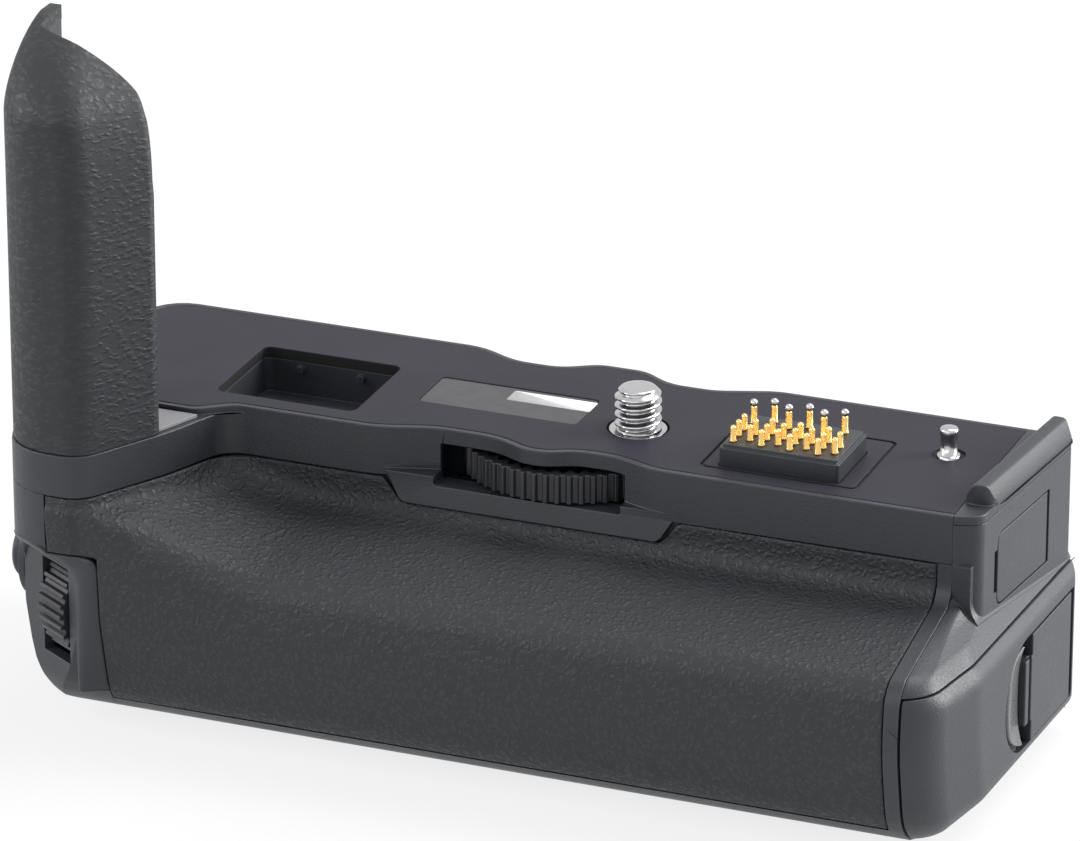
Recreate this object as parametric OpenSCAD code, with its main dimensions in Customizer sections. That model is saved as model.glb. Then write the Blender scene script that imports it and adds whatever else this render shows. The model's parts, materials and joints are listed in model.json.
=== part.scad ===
// Battery grip for a mirrorless camera.
// The origin is on the axis of the camera screw, in the plane of the camera seat.
// +X points to the battery tray's end, +Y to the back, +Z up out of the seat.

/* [Body] */
// Room for the controls between the battery tray and the left end
control_room = 29.4; // [28:0.1:32]
// Screw axis to the right end of the seat, at its back edge
right_x = 55.2; // [54.8:0.1:56]
// Screw axis to the parting line of the right end
seam_x = 48.7; // [48:0.1:49.2]
// Screw axis to the back wall
back_y = 18.8; // [18.7:0.1:20]
// Screw axis to the front of the upper band
band_y = 12.8; // [12.6:0.1:13.4]
// Screw axis to the front of the hand grip
grip_y = 34; // [33:0.5:36]
// Height of the upper band, from the seat to its parting line
band_h = 7; // [6.8:0.1:7.4]
// Seat to the underside of the housing
base_z = 41; // [40.5:0.5:45]
// Seat to the shoulder of the hand grip
shoulder_z = 12; // [11.5:0.1:12.5]
// Wall thickness of the housings
wall = 1.8; // [1.6:0.1:2]
// Thickness of the rubber skins
skin_t = 1; // [0.8:0.1:1.2]
// Slant of the upper right end in plan, in degrees
end_slant = 5.5; // [4.5:0.5:6]
// Slant of the lower right end in plan, in degrees
low_slant = 1.8; // [1.2:0.2:2.4]
// How far the lower right end stands out past the upper one, at the back
end_bulge = 1.3; // [1:0.1:1.6]

/* [Seat] */
// Thickness of the seat plate
plate_t = 1.6; // [1.4:0.1:2]
// Width of the frame's rim round the seat plate
rim_w = 0.9; // [0.7:0.1:1.2]
// Depth of the front and back waists beside the thumbwheel
waist_d = 2.6; // [2:0.1:3]
// Height of the fence along the right end
fence_h = 2.9; // [2:0.1:3.5]
// Length of the connector cap's pocket
pocket_l = 20.4; // [18:0.2:22]
// Width of the connector cap's pocket
pocket_w = 17; // [15:0.2:18]
// Depth of the connector cap's pocket
pocket_d = 6.5; // [5:0.5:7]
// Length of the label
label_l = 23; // [20:0.5:24]
// Width of the label
label_w = 9; // [8:0.2:10]

/* [Camera screw and thumbwheel] */
// Radius of the camera screw's thread
screw_r = 3.175; // [3.175:0.001:4.763]
// Height of the camera screw above the seat
screw_h = 5.9; // [4.5:0.1:6.5]
// Gear module of the thumbwheel drive
gear_m = 0.6; // [0.58:0.01:0.62]
// Teeth inside the thumbwheel
ring_n = 45; // [45:1:46]
// Teeth on the screw's pinion
pinion_n = 12; // [12:1:13]
// Bearing of the thumbwheel from the screw axis, in degrees
wheel_bearing = 11.5; // [9:0.5:14]
// Wall between the ring's tooth roots and the outside of its ribs
wheel_wall = 1.35; // [1.2:0.05:1.4]
// Thickness of the thumbwheel's ribbed rim
wheel_t = 4; // [3.6:0.1:4.2]
// Number of ribs on the thumbwheel
wheel_ribs = 60; // [40:1:72]

/* [Connector] */
// Length of the connector block
block_l = 16.8; // [15:0.2:18]
// Width of the connector block
block_w = 11.6; // [10:0.2:12]
// Height of the connector block above the seat
block_h = 3; // [2:0.1:3.5]
// Radius of a contact pin
contact_r = 0.38; // [0.3:0.02:0.45]
// Height of the contact pins above their block
contact_h = 2.3; // [1.5:0.1:3]
// Radius of the guide pin
guide_r = 1.25; // [1:0.05:1.5]
// Height of the guide pin above the seat
guide_h = 3.9; // [3:0.1:5]

/* [Hand grip column] */
// Height of the column above the seat
column_h = 55.5; // [45:0.5:60]
// Width of the column
column_w = 18.8; // [18:0.2:20]
// Screw axis to the front of the column
nose_y = 35.5; // [35:0.5:37.5]
// Thickness of the column at its nose
column_t = 10; // [8:0.5:11]

/* [Battery tray] */
// Length of one battery
battery_l = 47.1; // [46:0.1:48]
// Width of one battery
battery_w = 36.4; // [35:0.1:37]
// Thickness of one battery
battery_t = 15.7; // [15:0.1:16]
// Wall of the tray
tray_wall = 0.9; // [0.8:0.1:1]
// Running gap round the tray
tray_gap = 0.35; // [0.3:0.05:0.4]
// Length of the latch recess
latch_l = 26; // [24:0.5:27]
// Width of the latch recess
latch_w = 16.2; // [14:0.2:17]
// Thickness of the latch lever
lever_t = 2.2; // [2:0.1:2.4]

/* [Controls] */
// Radius of the shutter button
shutter_r = 4; // [3.5:0.1:4.5]
// Radius of the shutter's lock collar
collar_r = 6.2; // [5.8:0.1:6.6]
// Radius of the two command dials
dial_r = 8.5; // [8:0.1:8.8]
// Thickness of the two command dials
dial_t = 5.6; // [5:0.1:6]
// Number of ribs on a command dial
dial_ribs = 34; // [24:1:40]
// Radius of the round buttons on the back
button_r = 2.6; // [2.2:0.1:3]
// Radius of the focus stick's cap
stick_r = 3.3; // [2.8:0.1:3.6]

/* [Hidden] */
$fn = 48;
eps = 0.01;

// Colours
black = [0.20, 0.20, 0.21];
plate_colour = [0.27, 0.26, 0.30];
rubber = [0.17, 0.17, 0.18];
steel = [0.72, 0.72, 0.70];
gold = [0.80, 0.64, 0.30];
pale = [0.55, 0.55, 0.55];
board_green = [0.10, 0.32, 0.20];

// Clearances
joint_gap = 0.3;      // between pieces that move past each other
run_gap = 0.05;       // radial, between a shaft and its bore
cap_gap = 0.15;       // radial, between a button and its hole

// Round a polygon whose entries are [x, y, corner radius]
function unit(v) = v / norm(v);
function xy(p) = [p[0], p[1]];
function corner(a, b, c, r, n) =
    let (u = unit(a - b), w = unit(c - b), half = acos(u * w) / 2,
         m = b + unit(u + w) * (r / sin(half)),
         p0 = b + u * (r / tan(half)) - m, p1 = b + w * (r / tan(half)) - m,
         a0 = atan2(p0.y, p0.x), turn = (atan2(p1.y, p1.x) - a0 + 540) % 360 - 180)
    [for (i = [0 : n]) m + r * [cos(a0 + turn * i / n), sin(a0 + turn * i / n)]];
function rounded(p, n = 6) =
    let (k = len(p))
    [for (i = [0 : k - 1]) each (p[i][2] <= 0 ? [xy(p[i])] :
        corner(xy(p[(i + k - 1) % k]), xy(p[i]), xy(p[(i + 1) % k]), p[i][2], n))];

// Move every side of a counterclockwise polygon inward by d, with its radii
function inset(p, d) =
    let (k = len(p))
    [for (i = [0 : k - 1])
        let (b = xy(p[i]), e = unit(b - xy(p[(i + k - 1) % k])), f = unit(xy(p[(i + 1) % k]) - b),
             n0 = [-e.y, e.x], n1 = [-f.y, f.x], s = (n0 + n1) / (1 + n0 * n1) * d,
             bend = e.x * f.y - e.y * f.x)
        [b.x + s.x, b.y + s.y, p[i][2] <= 0 ? 0 : max(0.05, p[i][2] - sign(bend) * d)]];

// Extrude a drawing along X, with its sides along Y and Z, or along Y, with its sides along X and Z
module along_x(x0, x1) { translate([x0, 0, 0]) rotate([90, 0, 90]) linear_extrude(x1 - x0) children(); }
module along_y(y0, y1) { translate([0, y1, 0]) rotate([90, 0, 0]) linear_extrude(y1 - y0) children(); }
module along_z(z0, z1) { translate([0, 0, z0]) linear_extrude(z1 - z0) children(); }
module box(lo, hi) { translate(lo) cube(hi - lo); }
module rod_x(x0, x1, r) { translate([x0, 0, 0]) rotate([0, 90, 0]) cylinder(x1 - x0, r, r); }
module rod_y(y0, y1, r) { translate([0, y0, 0]) rotate([-90, 0, 0]) cylinder(y1 - y0, r, r); }
module rod_z(z0, z1, r) { translate([0, 0, z0]) cylinder(z1 - z0, r, r); }

// The thumbwheel drive: the wheel is a cup with teeth inside, and the screw's pinion runs in it
press_angle = 25;
gear_centre = gear_m * (ring_n - pinion_n) / 2;
wheel_at = gear_centre * [-cos(wheel_bearing), sin(wheel_bearing)];
mesh_angle = atan2(-wheel_at.y, -wheel_at.x);
ring_pitch_r = gear_m * ring_n / 2;
pinion_pitch_r = gear_m * pinion_n / 2;
ring_root_r = ring_pitch_r + 1.25 * gear_m;
wheel_r = ring_root_r + wheel_wall;
rib_d = 0.5;
bush_t = 1;
wheel_top = -plate_t - bush_t - joint_gap;
wheel_low = wheel_top - wheel_t;
cup_t = 1.5;
cup_r = ring_root_r + 0.1;
hub_r = 4;
axle_r = 2;
journal_r = 2.9;
spigot_r = 2;
clip_r = 3.9;
clip_t = 0.6;

// Length of the battery tray, which sets where the left end is
fit_gap = 0.3;        // round a battery in its well
tray_x1 = seam_x + 0.25;
well_l = battery_l + 2 * fit_gap;
tray_x0 = tray_x1 - 2 * well_l - 3 * tray_wall;
left_x = control_room - tray_x0;

// Plan of the seat and its frame, counterclockwise from above
wx = wheel_at.x;
front_edge = [
    [wx - 23.3, -band_y, 12], [wx - 15.3, -band_y + waist_d, 12], [wx - 6.8, -band_y + waist_d, 12],
    [wx - 1.8, -band_y + 0.2, 6], [wx + 1.2, -band_y + 0.2, 6], [wx + 5.2, -band_y + waist_d - 0.4, 8],
    [wx + 10.7, -band_y + waist_d - 0.4, 10], [wx + 16.7, -band_y, 10]];
back_edge = [
    [wx + 22.7, back_y, 10], [wx + 14.7, back_y - waist_d - 0.3, 9], [wx + 8.2, back_y - waist_d - 0.3, 7],
    [wx + 3.7, back_y, 5], [wx - 3, back_y, 5], [wx - 7.8, back_y - waist_d - 0.3, 7],
    [wx - 14.3, back_y - waist_d - 0.3, 9], [wx - 20.3, back_y, 10]];
nose_edge = [
    [-left_x, -nose_y, 8], [-left_x + 12.8, -nose_y, 5], [-left_x + 19.8, -nose_y + 12.5, 20]];
foot_x = -left_x + 24;
seat_front = -band_y - 3.4;
function frame_plan(sx) = concat(nose_edge, [[foot_x, -band_y, 4.5]], front_edge,
    [[sx, -band_y, 0], [sx, back_y, 0]], back_edge, [[-left_x, back_y, 6]]);
function seat_plan(sx) = concat([[-left_x, seat_front, 3], [foot_x - 3.2, seat_front, 4],
    [foot_x + 1.3, -band_y, 4]], front_edge, [[sx, -band_y, 0], [sx, back_y, 0]], back_edge,
    [[-left_x, back_y, 6]]);
deck_z = 1;
deck_t = 1.6;

// Lower body: section of the hand grip, in Y and Z, and the plan and front view that round its left end
function grip_profile(top, s) = [
    [-band_y + s, top, 0], [-band_y + s, -shoulder_z - s, 3],
    [-grip_y + 0.8 + s, -shoulder_z - 4.2 - s, 4.2],
    [-grip_y + s, -shoulder_z - 13, 25], [-grip_y + 3.2 + s, -base_z, 9],
    [back_y, -base_z, 5], [back_y, top, 0]];
function nose_plan() = concat(nose_edge, [[foot_x, -band_y, 0], [foot_x, 0, 0], [-left_x, 0, 0]]);
function nose_profile(top) = [
    [-nose_y, top, 0], [-nose_y, -13, 10], [-grip_y, -22, 10], [-grip_y + 1, -26, 0],
    [0, -26, 0], [0, top, 0]];
function end_x(y) = right_x - (back_y - y) * tan(end_slant);
plan_front = -nose_y - 1;
low_x = right_x + end_bulge;
function low_end_x(y) = low_x - (back_y - y) * tan(low_slant);
function body_plan() = [
    [-left_x, plan_front, 8], [-40, plan_front, 0], [-26, -grip_y - 0.05, 0],
    [low_end_x(-20) - 2.8, -grip_y - 0.05, 7], [low_end_x(-20), -20, 14],
    [low_x, back_y, 2.5], [-left_x, back_y, 6]];
function front_view() = [
    [-left_x + 3, -base_z, 11], [seam_x + 12, -base_z, 0], [seam_x + 12, 6, 0], [-left_x, 6, 0],
    [-left_x, -27, 9]];
// Lower body as a solid: s is set back from the front for the skin, d is inset all round
module grip_solid(s, d) {
    top = d > 0 ? -band_h + 1 : -band_h;
    end = d > 0 ? seam_x + 1 : seam_x;
    intersection() {
        union() {
            along_x(-left_x - 1, end) polygon(rounded(inset(grip_profile(top + d, s), d)));
            intersection() {
                along_z(-30, top) polygon(rounded(inset(nose_plan(), s + d)));
                along_x(-left_x - 1, 0) polygon(rounded(inset(nose_profile(top + s + d), s + d)));
            }
        }
        along_y(-60, 60) polygon(rounded(inset(front_view(), d)));
        along_z(-base_z - 1, 2) polygon(rounded(inset(body_plan(), d)));
        box([-left_x - 2, -60, -base_z - 1], [end, 60, top]);
    }
}

// Left end: where its cover ends, and the facet that carries the front dial
left_seam_low = -left_x + 14.5;
left_seam_high = -left_x + 7.4;
left_step_z = -15.5;
module left_region(g) {
    box([-left_x - 9, -60, -base_z - 5], [left_seam_low + g, 60, left_step_z + g]);
    box([-left_x - 9, -60, left_step_z - 1], [left_seam_high + g, 60, 5]);
}
facet_a = [-left_x, -grip_y + 7.4];
facet_b = [-left_x + 12, -grip_y - 0.2];
facet_turn = atan2(facet_b.y - facet_a.y, facet_b.x - facet_a.x);
module at_facet() { translate([facet_a.x, facet_a.y, 0]) rotate(facet_turn) children(); }
// In this frame X runs along the facet and +Y goes inward
module facet_cut(d) {
    at_facet() along_x(-12, 24)
        polygon([[d, -70], [-30, -70], [-30, 10], [-6, -13 + 1.4 * d], [d, -18 + 0.7 * d]]);
}
dial_u = 7.8;
dial_z = -25.8;
dial_show = 1.3;
dial_in = dial_r - dial_show;

// Right end: a frame with +X out of the slanted end and its Y axis along the end, zero at the back
module at_end() { translate([right_x, back_y, 0]) rotate(-end_slant) children(); }
function upper_end_plan() = [
    [seam_x, -band_y, 0], [end_x(-band_y + end_cut), -band_y + end_cut, 2],
    [right_x, back_y, 1.5], [seam_x, back_y, 0]];
end_cut = 1.2;
// Lower right end, which swells past the upper one in an S; its frame has the lower end's own slant
module at_low() { translate([low_x, back_y, 0]) rotate(-low_slant) children(); }
module lower_end(z0, z1) intersection() {
    along_x(seam_x, low_x + 9) polygon(rounded(grip_profile(-band_h, 0)));
    along_z(z0, z1) polygon(rounded(body_plan()));
    at_low() along_y(-70, 10) polygon(rounded([
        [-30, -base_z, 0], [0, -base_z, 5], [0, -19.5, 4], [-4.2, -13.2, 4], [-4.2, 6, 0], [-30, 6, 0]]));
}
end_split_z = -17.6;
fence_base = 1.3;
fence_l = 27.4;
end_thick = 3.4;

// Battery tray and its chamber
chamber_t = 1;
chamber_back = back_y - wall;
tray_back = chamber_back - chamber_t - tray_gap;
tray_front = tray_back - battery_w - 2 * (fit_gap + tray_wall);
chamber_x0 = tray_x0 - 0.9;
chamber_top = -shoulder_z - 5.8;
tray_top = chamber_top - chamber_t - tray_gap;
tray_floor = 1;
battery_low = tray_top - 0.05 - battery_t;
tray_low = battery_low - tray_floor;
chamber_low = tray_low - tray_gap - chamber_t;
chamber_front = tray_front - tray_gap - chamber_t;

// Latch in the tray cap, in the lower right end's frame
latch_y1 = -2.4;
latch_y0 = latch_y1 - latch_l;
latch_z = -28.9;
latch_depth = lever_t + 0.25;
scoop_depth = 1.9;
scoop_rise = 1;
lever_y0 = latch_y0 + 7.4;
lever_step = lever_y0 + 2.6;
lever_half = latch_w / 2 - 0.35;
tongue_half = 4.7;
pin_r = 0.6;
pin_y = latch_y1 - joint_gap - lever_t / 2;
pin_x = -lever_t / 2;
pin_half = latch_w / 2 + 1;

// Power socket and its cover, in the right end's frame
dc_y0 = -25.2;
dc_y1 = -8.3;
dc_z0 = -15;
dc_z1 = -4.5;
dc_depth = 1.7;
dc_t = 1.5;
dc_gap = 0.2;
jack_y = (dc_y0 + dc_y1) / 2;
jack_z = (dc_z0 + dc_z1) / 2;
jack_r = 2.75;
jack_nose_r = 3.6;

// Controls
shutter_y = -20;
shutter_z = -22.5;
shutter_out = 3.4;
shutter_travel = 0.8;
collar_t = 1;
boss_r = shutter_r + cap_gap + 0.75;
boss_out = 1.4;
flange_t = 0.8;
flange_x = -left_x + wall + 0.3;
switch_x = flange_x + flange_t + shutter_travel + 0.25;
post_r = 1.2;
post_z = 8;
rear_dial_x = -left_x + 22;
rear_dial_z = -16.4;
rear_dial_y = back_y + 1.8 - dial_r;
lock_z = -12.4;
lock_x = [rear_dial_x + 12.55, rear_dial_x + 22.55];
menu_x = -left_x + 8.5;
menu_z = -21;
button_out = 1.2;
button_travel = 0.6;
switch_y = back_y - wall - 0.15 - flange_t - button_travel - 0.25;
stick_x = -left_x + 21;
stick_z = -30.6;
stick_pivot_y = back_y - 5;
stick_hole_r = 4.6;
lamp_x = [lock_x[1] + 10, lock_x[1] + 15];
lamp_r = 1;

// Places on the seat
pocket_x = -57.8;
pocket_y = -9;
label_x = -31;
label_y = -2.2;
block_x = 14.4;
block_y = -8.1;
guide_at = [41.5, 6.6];
guide_foot = 0.3;
board_z = chamber_top + 1;
board_t = 1;
board_x0 = tray_x0 + 3.1;
board_x1 = seam_x - 8.7;
board_y0 = -8.6;

// Underside
foot_h = 1.3;
foot_x0 = -22;
foot_x1 = 27;
foot_y0 = -21;
foot_y1 = 12;
tripod_r = 3.175;
bush_r = 5;
base_screw_at = [for (x = [left_seam_low + 8.05, 38], y = [-20, 9]) [x, y]];

// Involute gear outline; slack narrows each tooth by that angle on both sides
function inv_deg(a) = tan(a) * 180 / PI - a;
function tooth_half(n, pitch_r, r, slack) =
    90 / n - slack + inv_deg(press_angle) - inv_deg(acos(min(1, pitch_r * cos(press_angle) / r)));
function gear_outline(n, pitch_r, tip_r, root_r, slack) =
    let (start = max(root_r, pitch_r * cos(press_angle)), steps = 3,
         flank = [for (j = [0 : steps]) start + (tip_r - start) * j / steps])
    [for (k = [0 : n - 1]) each concat(
        [root_r * polar(360 * k / n - tooth_half(n, pitch_r, start, slack))],
        [for (j = [0 : steps]) flank[j] * polar(360 * k / n - tooth_half(n, pitch_r, flank[j], slack))],
        [for (j = [steps : -1 : 0]) flank[j] * polar(360 * k / n + tooth_half(n, pitch_r, flank[j], slack))],
        [root_r * polar(360 * k / n + tooth_half(n, pitch_r, start, slack))])];
function polar(a) = [cos(a), sin(a)];
// Outline of a ribbed wheel
function ribbed(r, n, depth) =
    [for (k = [0 : n - 1]) each [
        (r - depth) * polar(360 * (k - 0.30) / n), r * polar(360 * (k - 0.16) / n),
        r * polar(360 * (k + 0.16) / n), (r - depth) * polar(360 * (k + 0.30) / n)]];
function block_outline(x0, y0, x1, y1, r) = [[x0, y0, r], [x1, y0, r], [x1, y1, r], [x0, y1, r]];

// Seat and upper frame
apron_x0 = wx - 21.8;
apron_x1 = wx + 20.2;
apron_h = 3.1;
window_half = 12.8;
window_top = wheel_top + 0.7;
module apron() {
    intersection() {
        along_x(apron_x0, apron_x1) polygon([
            [-band_y + 4, -band_h + 1], [-band_y, -band_h + 1], [-band_y, -band_h],
            [-band_y - 0.7, -band_h - apron_h], [-band_y + 4, -band_h - apron_h]]);
        along_y(-30, 0) polygon(rounded([
            [apron_x0 + 2.6, -band_h - apron_h, 1.5], [apron_x1 - 2.6, -band_h - apron_h, 1.5],
            [apron_x1, -band_h + 1, 0], [apron_x0, -band_h + 1, 0]]));
    }
}
// Room that the turning thumbwheel needs
module wheel_room() {
    translate([wheel_at.x, wheel_at.y, 0]) {
        rod_z(wheel_low - joint_gap, wheel_top + joint_gap, wheel_r + joint_gap);
        rod_z(wheel_low - cup_t - 1.6, wheel_low, cup_r + joint_gap);
    }
}
module pocket_plan(g) {
    polygon(rounded(block_outline(pocket_x - g, pocket_y - g,
        pocket_x + pocket_l + g, pocket_y + pocket_w + g, 1.2)));
}

module seat_plate() color(plate_colour) difference() {
    along_z(-plate_t, 0) polygon(rounded(inset(seat_plan(seam_x + rim_w), rim_w + 0.1)));
    rod_z(-plate_t - 1, 1, journal_r + run_gap);
    rod_z(-clip_t - 0.35, 1, clip_r + joint_gap);
    along_z(-plate_t - 1, 1) pocket_plan(0);
    along_z(-0.5, 1)
        polygon(rounded(block_outline(label_x, label_y, label_x + label_l, label_y + label_w, 0.8)));
    along_z(-plate_t - 1, 1) polygon(rounded(block_outline(block_x - 0.1, block_y - 0.1,
        block_x + block_l + 0.1, block_y + block_w + 0.1, 0.6)));
    // Seam of the connector's panel
    along_z(-0.35, 1) difference() {
        polygon(rounded(block_outline(block_x - 2.4, block_y - 1,
            block_x + block_l + 2.8, block_y + block_w + 4.5, 1)));
        polygon(rounded(block_outline(block_x - 2, block_y - 0.6,
            block_x + block_l + 2.4, block_y + block_w + 4.1, 0.8)));
    }
    translate([guide_at.x, guide_at.y, 0]) rod_z(-plate_t - 1, 1, guide_r + guide_foot + 0.02);
    translate([guide_at.x, guide_at.y, 0]) rod_z(-0.4, 1, guide_r + 1);
}

module side_fence() color(black) {
    along_z(-fence_base, 0) polygon(rounded(upper_end_plan()));
    at_end() intersection() {
        along_y(-fence_l, 0) polygon(rounded([
            [-4.7, -0.5, 0], [0, -0.5, 0], [0, 0.4, 0], [-0.9, fence_h, 0.8],
            [-2.7, fence_h, 0.8], [-4.7, 0, 0]], 4));
        along_z(-0.5, fence_h + 1) polygon(rounded([
            [-4.8, -fence_l, 2.2], [0, -fence_l, 2.2], [0, -1.2, 0], [-4.8, -1.2, 0]]));
        rotate(end_slant) translate([-right_x, -back_y, 0])
            box([seam_x, -60, -1], [right_x + 5, 60, fence_h + 1]);
    }
}

module upper_frame() color(black) difference() {
    union() {
        along_z(-band_h, -deck_z) polygon(rounded(frame_plan(seam_x)));
        along_z(-deck_z - eps, 0) polygon(rounded(seat_plan(seam_x)));
        apron();
    }
    along_z(-band_h - 1, -deck_z - deck_t) polygon(rounded(inset(frame_plan(seam_x + 9), wall)));
    along_z(-deck_z - deck_t - eps, -plate_t + eps) polygon(rounded(inset(seat_plan(seam_x + 9), wall)));
    along_z(-plate_t, 1) polygon(rounded(inset(seat_plan(seam_x + 9), rim_w)));
    wheel_room();
    box([wx - window_half - 1.8, -30, wheel_low - joint_gap], [wx + window_half - 0.8, -band_y + 4.2, window_top]);
}

// Lower shells
skin_x1 = seam_x - 2;
skin_low = -base_z + 3.3;
module skin_region() {
    box([-left_x, -60, skin_low], [skin_x1, -band_y + skin_t + eps, -band_h + 1]);
}
module lower_housing() color(black) difference() {
    union() {
        grip_solid(skin_t, 0);
        difference() {
            grip_solid(0, 0);
            skin_region();
        }
    }
    grip_solid(skin_t, wall);
    left_region(0);
    apron();
    wheel_room();
    // Back: window of the rear dial, holes of the buttons, the focus stick and the lamps
    translate([rear_dial_x, 0, rear_dial_z])
        box([-dial_t / 2 - 0.4, back_y - 4, -rear_window], [dial_t / 2 + 0.4, back_y + 1, rear_window]);
    for (x = lock_x) translate([x, 0, lock_z]) rod_y(back_y - 4, back_y + 1, button_r + cap_gap);
    translate([stick_x, 0, stick_z]) rod_y(back_y - 4, back_y + 1, stick_hole_r);
    for (x = lamp_x) translate([x, 0, lock_z]) rod_y(back_y - 4, back_y + 1, lamp_r + 0.02);
    // Underside: tripod bush and screws
    rod_z(-base_z - 1, -base_z + wall + 1, bush_r + 0.02);
    for (p = base_screw_at) translate([p.x, p.y, 0]) {
        rod_z(-base_z - 1, -base_z + 0.9, 2);
        rod_z(-base_z - 1, -base_z + wall + 1, 1);
    }
}
rear_window = sqrt(pow(dial_r, 2) - pow(back_y - wall - rear_dial_y, 2)) + 0.35;
front_window = sqrt(pow(dial_r, 2) - pow(dial_in - wall, 2)) + 0.35;

module left_end_cover() color(black) {
    difference() {
        intersection() {
            difference() {
                grip_solid(0, 0);
                facet_cut(0);
            }
            left_region(0);
        }
        difference() {
            grip_solid(0, wall);
            facet_cut(wall);
        }
        at_facet() translate([dial_u, 0, dial_z])
            box([-dial_t / 2 - 0.4, -9, -front_window], [dial_t / 2 + 0.4, wall + 1, front_window]);
        at_front_dial() rod_x(-dial_t / 2 - 0.4, dial_t / 2 + 0.4, dial_r + 0.35);
        translate([0, shutter_y, shutter_z]) rod_x(-left_x - 1, -left_x + wall + 1, shutter_r + cap_gap);
        translate([menu_x, 0, menu_z]) rod_y(back_y - 4, back_y + 1, button_r + cap_gap);
    }
    // Boss that the lock collar turns on, and the posts that carry the shutter's switch
    translate([0, shutter_y, shutter_z]) {
        difference() {
            rod_x(-left_x - boss_out, -left_x + eps, boss_r);
            rod_x(-left_x - boss_out - 1, -left_x + 1, shutter_r + cap_gap);
        }
        for (s = [-1, 1]) translate([0, 0, s * post_z]) rod_x(-left_x + wall - 0.2, switch_x + 1.8, post_r);
    }
}

module right_end_cover() color(black) difference() {
    union() {
        along_z(end_split_z, -fence_base) polygon(rounded(upper_end_plan()));
        lower_end(end_split_z, -band_h);
    }
    at_end() {
        // Recess of the soft cover, its nail slot and the socket's mouth
        along_x(-dc_depth, 5) polygon(rounded([
            [dc_y0, dc_z0, 1.6], [dc_y1, dc_z0, 0], [dc_y1, dc_z1, 0], [dc_y0, dc_z1, 1.6]]));
        box([-1.2, dc_y0 - 0.9, jack_z - 3], [5, dc_y0 + 0.5, jack_z + 3]);
        translate([0, jack_y, jack_z]) rod_x(-9, 1, jack_nose_r + 0.02);
        translate([0, jack_y, jack_z]) box([-12, -5, -4.5], [-end_thick, 5, 4.5]);
    }
}

// Skin of the hand grip, lofted through sections in Y and Z that rise to the column's foot
saddle_x0 = -left_x + 11;
saddle_x1 = saddle_x0 + 27;
function blend(t) = let (u = min(1, max(0, t))) u * u * (3 - 2 * u);
function mix(a, b, t) = a + (b - a) * t;
foot_line = rounded(frame_plan(seam_x));
function foot_y(x) = min([for (i = [1 : len(foot_line) - 1])
    let (a = foot_line[i - 1], b = foot_line[i])
    if ((a.x <= x) != (b.x <= x)) mix(a.y, b.y, (x - a.x) / (b.x - a.x))]);
function skin_section(x) =
    let (f = blend((saddle_x1 - x) / (saddle_x1 - saddle_x0)),
         yt = x < foot_x + 14 ? min(-band_y, foot_y(x)) : -band_y,
         yf = min(mix(-grip_y + 0.8, -nose_y, f), yt - 0.5), span = yt - yf)
    rounded([
        [yt, -band_h, 0], [yt, mix(-shoulder_z, -band_h - 1.2, f), min(3 + 5 * f, 0.3 * span)],
        [yf, mix(-shoulder_z - 4.2, -band_h - 2.2, f), min(4.2, 0.3 * span)],
        [mix(-grip_y, -grip_y - 0.4, f), -shoulder_z - 13, 25], [-grip_y + 3.2, -base_z, 9],
        [6, -base_z, 0], [6, -band_h, 0]]);
skin_stations = concat(
    [for (i = [0 : 24]) mix(left_seam_high - 0.5, saddle_x1, i / 24)], [skin_x1 + 1]);
module loft(rings) {
    n = len(rings[0]);
    m = len(rings);
    polyhedron([for (ring = rings) each ring],
        concat([[for (j = [0 : n - 1]) j]], [[for (j = [n - 1 : -1 : 0]) (m - 1) * n + j]],
            [for (i = [0 : m - 2], j = [0 : n - 1]) let (a = i * n + j, b = i * n + (j + 1) % n) each [
                [a, a + n, b], [b, a + n, b + n]]]));
}
module front_skin() color(rubber) difference() {
    loft([for (x = skin_stations) [for (q = skin_section(x)) [x, q.x, q.y]]]);
    box([-left_x - 9, -60, -base_z - 1], [seam_x + 1, 60, skin_low]);
    box([-left_x - 9, -band_y + skin_t + eps, -base_z - 1], [seam_x + 1, 60, 1]);
    box([skin_x1, -60, -base_z - 1], [seam_x + 1, 60, 1]);
    grip_solid(skin_t, 0);
    left_region(0);
    apron();
    wheel_room();
}

// Column that wraps the camera's own grip, lofted through level sections that draw in to its tip
column_x0 = -left_x + 0.1;
column_y0 = -nose_y + 0.3;
column_x1 = column_x0 + column_w;
wall_back = -16.1;
hollow_r = 15.8;
hollow_at = [column_x0 + 11.2, column_y0 + column_t + hollow_r];
fin_w = 2.6;
tip_in = 1.2;         // how far the left wall leans in at the tip
tip_y = -17.5;
dome_right = 24.2;    // heights over which the right, the front and the left draw in
dome_front = 10.1;
dome_left = 13.9;
function column_plan(d) = rounded(inset([
    [column_x0, column_y0, 8], [column_x0 + 12.7, column_y0, 5], [column_x1, column_y0 + 10.8, 0],
    [column_x1, wall_back + d, 0], [column_x0, wall_back + d, 0], [column_x0, tip_y, 0]], d), 6);
function hollow_plan() = concat(
    [for (i = [0 : 20]) hollow_at + hollow_r * polar(mix(180 + hollow_from, 330, i / 20))],
    [[column_x1 + 9, 0], [column_x0 + fin_w, 0]]);
hollow_from = acos((hollow_at.x - column_x0 - fin_w) / hollow_r);
function draw_in(t, power) = pow(1 - pow(min(1, max(0, t)), power), 1 / power);
function column_section(z, d) =
    let (to_top = column_h - d - z, right = draw_in(1 - to_top / dome_right, 3.3),
         front = draw_in(1 - to_top / dome_front, 1.6), left = 1 - draw_in(1 - to_top / dome_left, 2),
         x0 = column_x0 + d)
    [for (c = column_plan(d)) let (across = (c.x - x0) / column_w) [
        x0 + (c.x - x0) * right + tip_in * left * (1 - across),
        c.y < tip_y ? tip_y + (c.y - tip_y) * front : c.y, z]];
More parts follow.
